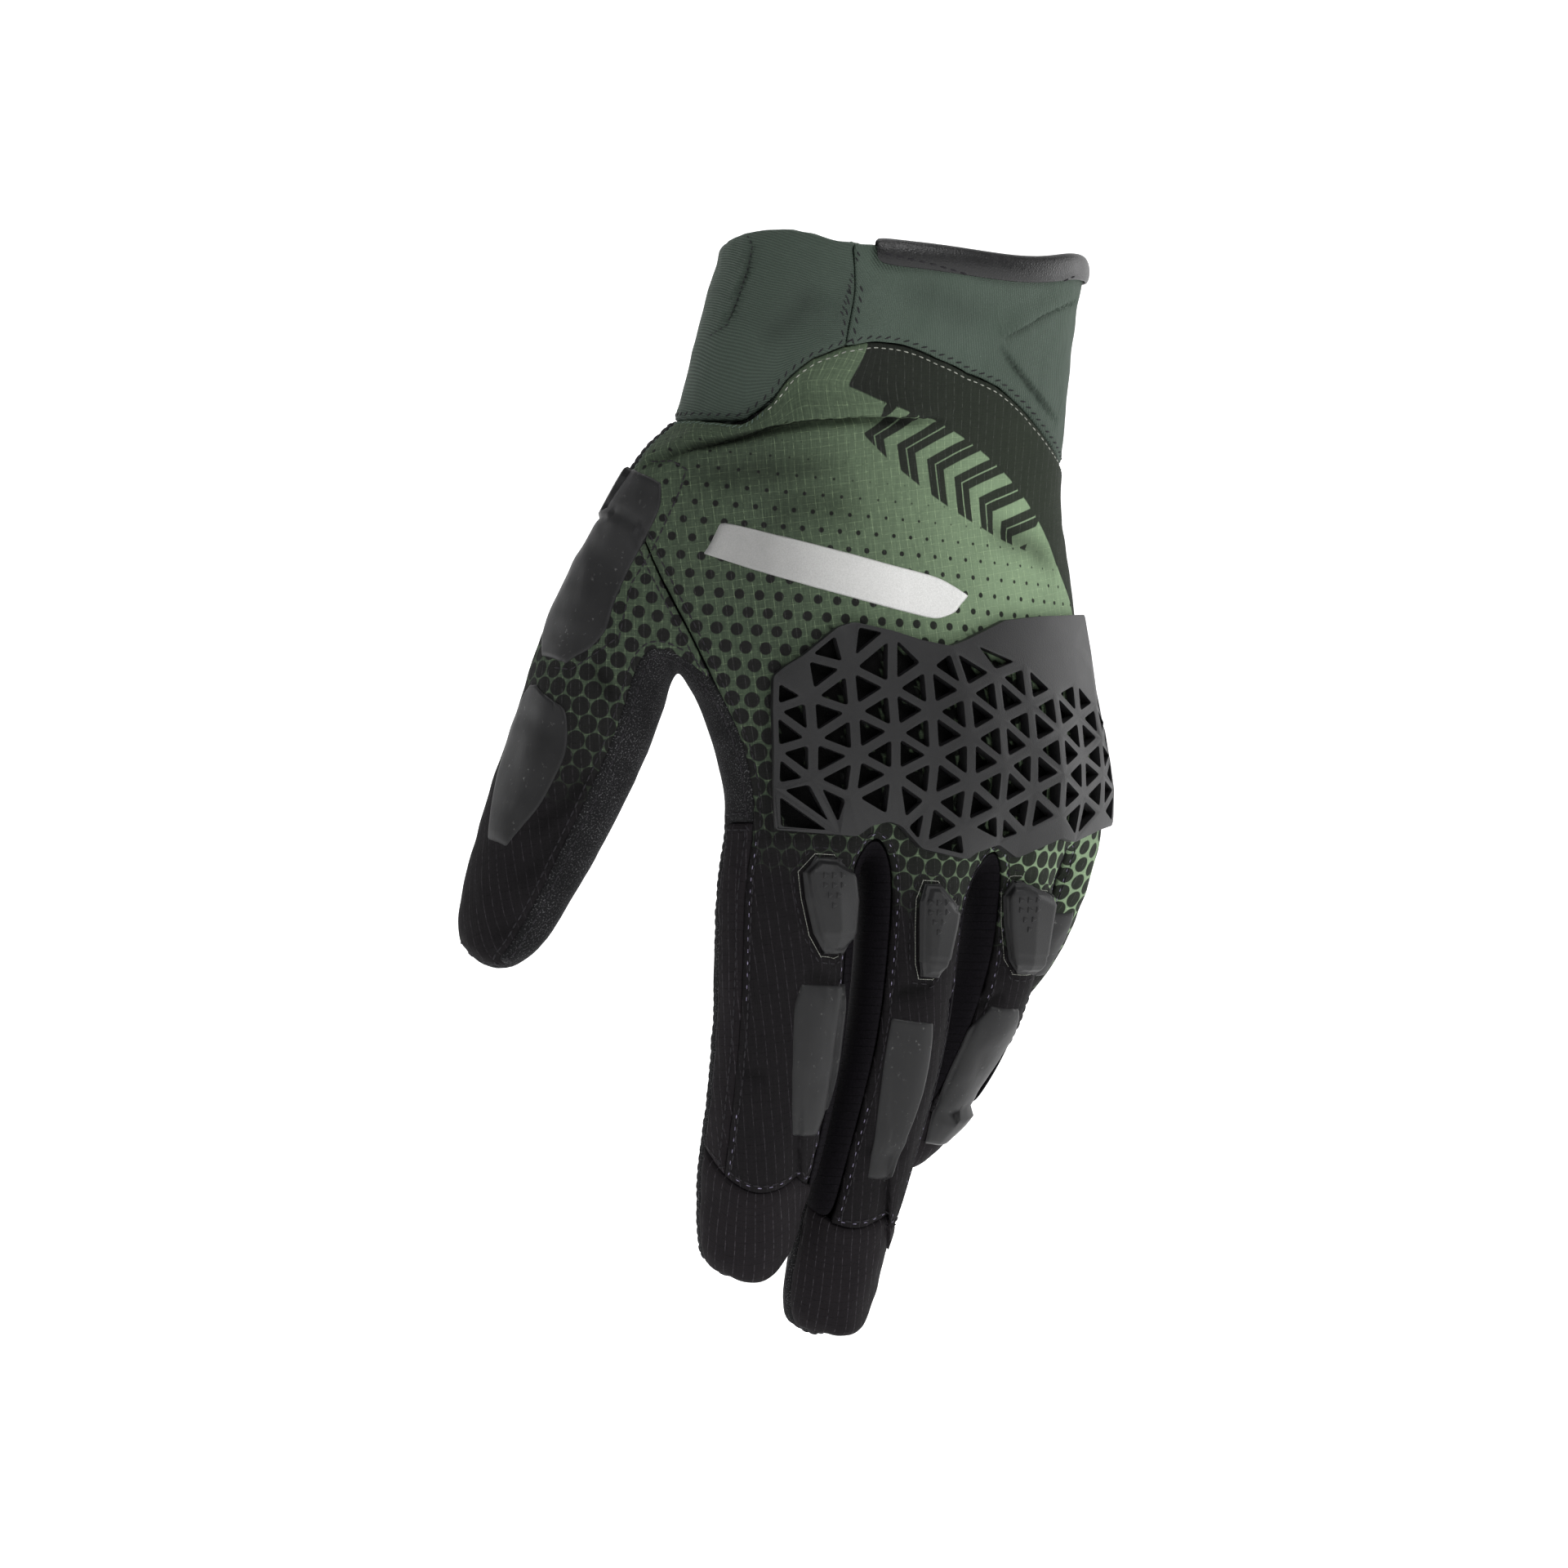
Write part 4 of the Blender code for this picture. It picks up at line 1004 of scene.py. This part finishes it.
BADGE_HEIGHT, BADGE_EDGE, BADGE_SINK, BADGE_WALL = 0.00035, 0.0004, 0.00005, 0.0003
badge = sheet_from("reflective_badge", "reflective_badge_film")
refine(refine(badge, 1, "SIMPLE"), 2)
gap = border_gap(badge)
lay_on(badge, BACK_BED, BADGE_HEIGHT * np.clip(gap / BADGE_EDGE, 0, 1) ** 0.5 - BADGE_SINK)
give_wall(badge, BADGE_WALL)
fit(badge, reflective_film(), "reflective_film", "reflective_badge")


# The seams. Every panel is sewn with spun thread in short even stitches, which lie half
# sunk in the cloth beside the seam.
STITCH_LENGTH, STITCH_PITCH, THREAD = 0.0017, 0.0021, 0.00019
THREADS = {
    "dark_thread": (tint(20, 19, 21), tint(40, 38, 42)),
    "pale_thread": (tint(96, 98, 92), tint(168, 170, 160)),
    "lilac_thread": (tint(70, 64, 84), tint(150, 144, 168)),
    "green_thread": (tint(44, 54, 50), tint(92, 108, 98)),
}


def thread_finish(name, shade, light):
    """Twisted thread, shaded between its strands."""
    thread = Finish(name, Roughness=0.75, Specular_IOR_Level=0.2)
    vector, *_ = thread.place()
    twist = thread.grain(vector, 0.00035, 2.0)
    thread.set(Base_Color=thread.blend(((twist - 0.3) * 2.5).clear(), shade, light))
    thread.relief(twist, 0.0001, 0.6)
    return thread.material


THREAD_FINISHES = {name: thread_finish(name, *shades) for name, shades in THREADS.items()}


def seam_lines(mesh, inset):
    """Lines along the borders of a sheet, that far in from its edge, laid on it with their normals."""
    bed = bed_of(mesh)
    return [[bed.find_nearest(point)[:2] for point, _ in line] for line in border_lines(mesh, inset)]


def border_lines(mesh, inset):
    """The borders of a sheet as closed lines, moved in by the inset or out by a negative one."""
    met = {}
    for face in mesh.polygons:
        for key in face.edge_keys:
            met.setdefault(key, []).append(face)
    links, inward = {}, {}
    for (a, b), faces in met.items():
        if len(faces) == 1:
            links.setdefault(a, []).append(b)
            links.setdefault(b, []).append(a)
            middle = (mesh.vertices[a].co + mesh.vertices[b].co) / 2
            along = (mesh.vertices[b].co - mesh.vertices[a].co).normalized()
            into = faces[0].center - middle
            into = (into - along * into.dot(along)).normalized()
            for end in (a, b):
                inward[end] = inward.get(end, Vector()) + into
    lines, left = [], dict.fromkeys(links)
    while left:
        loop = [left.popitem()[0]]
        while True:
            ahead = [v for v in links[loop[-1]] if v in left]
            if not ahead:
                break
            left.pop(ahead[0])
            loop.append(ahead[0])
        line = []
        for index in loop + loop[:1]:
            line.append((mesh.vertices[index].co + inward[index].normalized() * inset, None))
        lines.append(line)
    return lines


def stitch_shape():
    """One stitch: a short bead of thread, thick in the middle."""
    bpy.ops.object.select_all(action="DESELECT")
    bpy.ops.mesh.primitive_uv_sphere_add(segments=6, ring_count=5, radius=1)
    bead = bpy.context.object
    bpy.ops.transform.rotate(value=math.pi / 2, orient_axis="Y", center_override=(0, 0, 0))
    bpy.ops.transform.resize(value=(STITCH_LENGTH / 2, THREAD * 1.1, THREAD))
    bpy.ops.object.transform_apply()
    mesh = bead.data.copy()
    bpy.data.objects.remove(bead)
    return mesh


STITCH = stitch_shape()


def sew(name, lines, thread, keep=None, pitch=STITCH_PITCH, size=1.0, slant=0.0, lift=0.00002):
    """Sews along the lines: one bead of thread every pitch, turned by the slant."""
    places = []
    for line in lines:
        walked, due = 0.0, pitch / 2
        for (start, up), (end, _) in zip(line, line[1:]):
            step = (end - start).length
            if step > 0.01 or step == 0:
                continue
            while walked + step >= due:
                spot = start.lerp(end, (due - walked) / step)
                due += pitch
                if keep and not keep(spot * 1000):
                    continue
                ahead = (end - start).normalized()
                side = up.cross(ahead).normalized()
                turn = Matrix((ahead, side, ahead.cross(side))).transposed().to_4x4()
                places.append(Matrix.Translation(spot + up * lift) @ turn @ Matrix.Rotation(slant, 4, "Z")
                              @ Matrix.Scale(size, 4))
            walked += step
    piece = scatter(name, STITCH, places)
    bpy.ops.object.shade_smooth()
    return fit(piece, THREAD_FINISHES[thread], "black_ripstop")


def drawn(bed, line):
    """A line drawn across the hand, laid on the bed with its normals."""
    return [bed.find_nearest(point)[:2] for point in drape_line(bed, line, 0.0006)]


sew("cuff_seam_pale", seam_lines(back_sheet, 0.0009), "pale_thread",
    lambda p: p.z > -50 and p.x > -28 and p.y < 20, 0.0019, 0.7)
sew("cuff_seam_beads", seam_lines(back_sheet, 0.0009), "green_thread",
    lambda p: p.z > -52 and p.x <= -28, 0.0014, 0.85, 0.8)
sew("cuff_seam_dark", seam_lines(cuff_sheet, 0.0011) + seam_lines(tab_sheet, 0.0011), "dark_thread",
    lambda p: p.z < -10, 0.0023, 0.9, 0.5)
sew("back_seams", seam_lines(back_sheet, 0.0017), "dark_thread", lambda p: p.z < -52)
sew("finger_seam_specks", seam_lines(back_sheet, 0.0012), "lilac_thread",
    lambda p: p.z < -128 and (p.z < -188 or p.z > -165), 0.0026, 0.55)
sew("thumb_seams", seam_lines(thumb_sheet, 0.0015), "dark_thread")
sew("palm_seams", seam_lines(palm_sheet, 0.0017), "dark_thread")
sew("index_side_seam", seam_lines(finger_sheets["index_side"], 0.0015), "dark_thread")
THUMB_PRINT_SEAM = ((-53, -47.2), (-48.4, -47.2), (-45.4, -49.1), (-46.8, -53.8), (-50, -60.8),
                    (-53.1, -67.1), (-57.1, -73.4), (-58.5, -78.8), (-59.8, -85.1), (-64.1, -88.2),
                    (-70.2, -92.2), (-74.2, -91.8))
sew("thumb_print_seam", [drawn(CLOTH_BED, THUMB_PRINT_SEAM)], "dark_thread")
for finger, outline in insert_outlines.items():
    edge, around = ([[BACK_BED.find_nearest(p)[:2] for p, _ in line] for line in border_lines(outline, -out)]
                    for out in (0.0004, 0.0019))
    sew("insert_edge_" + finger, edge, "pale_thread", pitch=0.0006, size=0.42)
    sew("insert_seam_" + finger, around, "dark_thread", pitch=0.0023, size=0.9)
TAB_SEAM = ((-8, -2), (-9.3, -6.3), (-10.7, -11.7), (-12, -16.2))
sew("tab_seam", [drawn(bed_of(tab_sheet, cuff_sheet), TAB_SEAM)], "dark_thread",
    pitch=0.0012, size=0.7, slant=0.9)
sew("tab_pad_seam", [drawn(bed_of(tab_sheet), TAB_FOLDS[0][0])], "dark_thread", pitch=0.0016, size=0.6)
BINDING_SEAM = ((-8, -1.2), (0, -3), (8, -4.6), (16, -6.6), (23, -8), (30, -8.2), (36, -7), (41, -4.6))
sew("binding_seam", [drawn(bed_of(binding_sheet), BINDING_SEAM)], "dark_thread", pitch=0.0026)
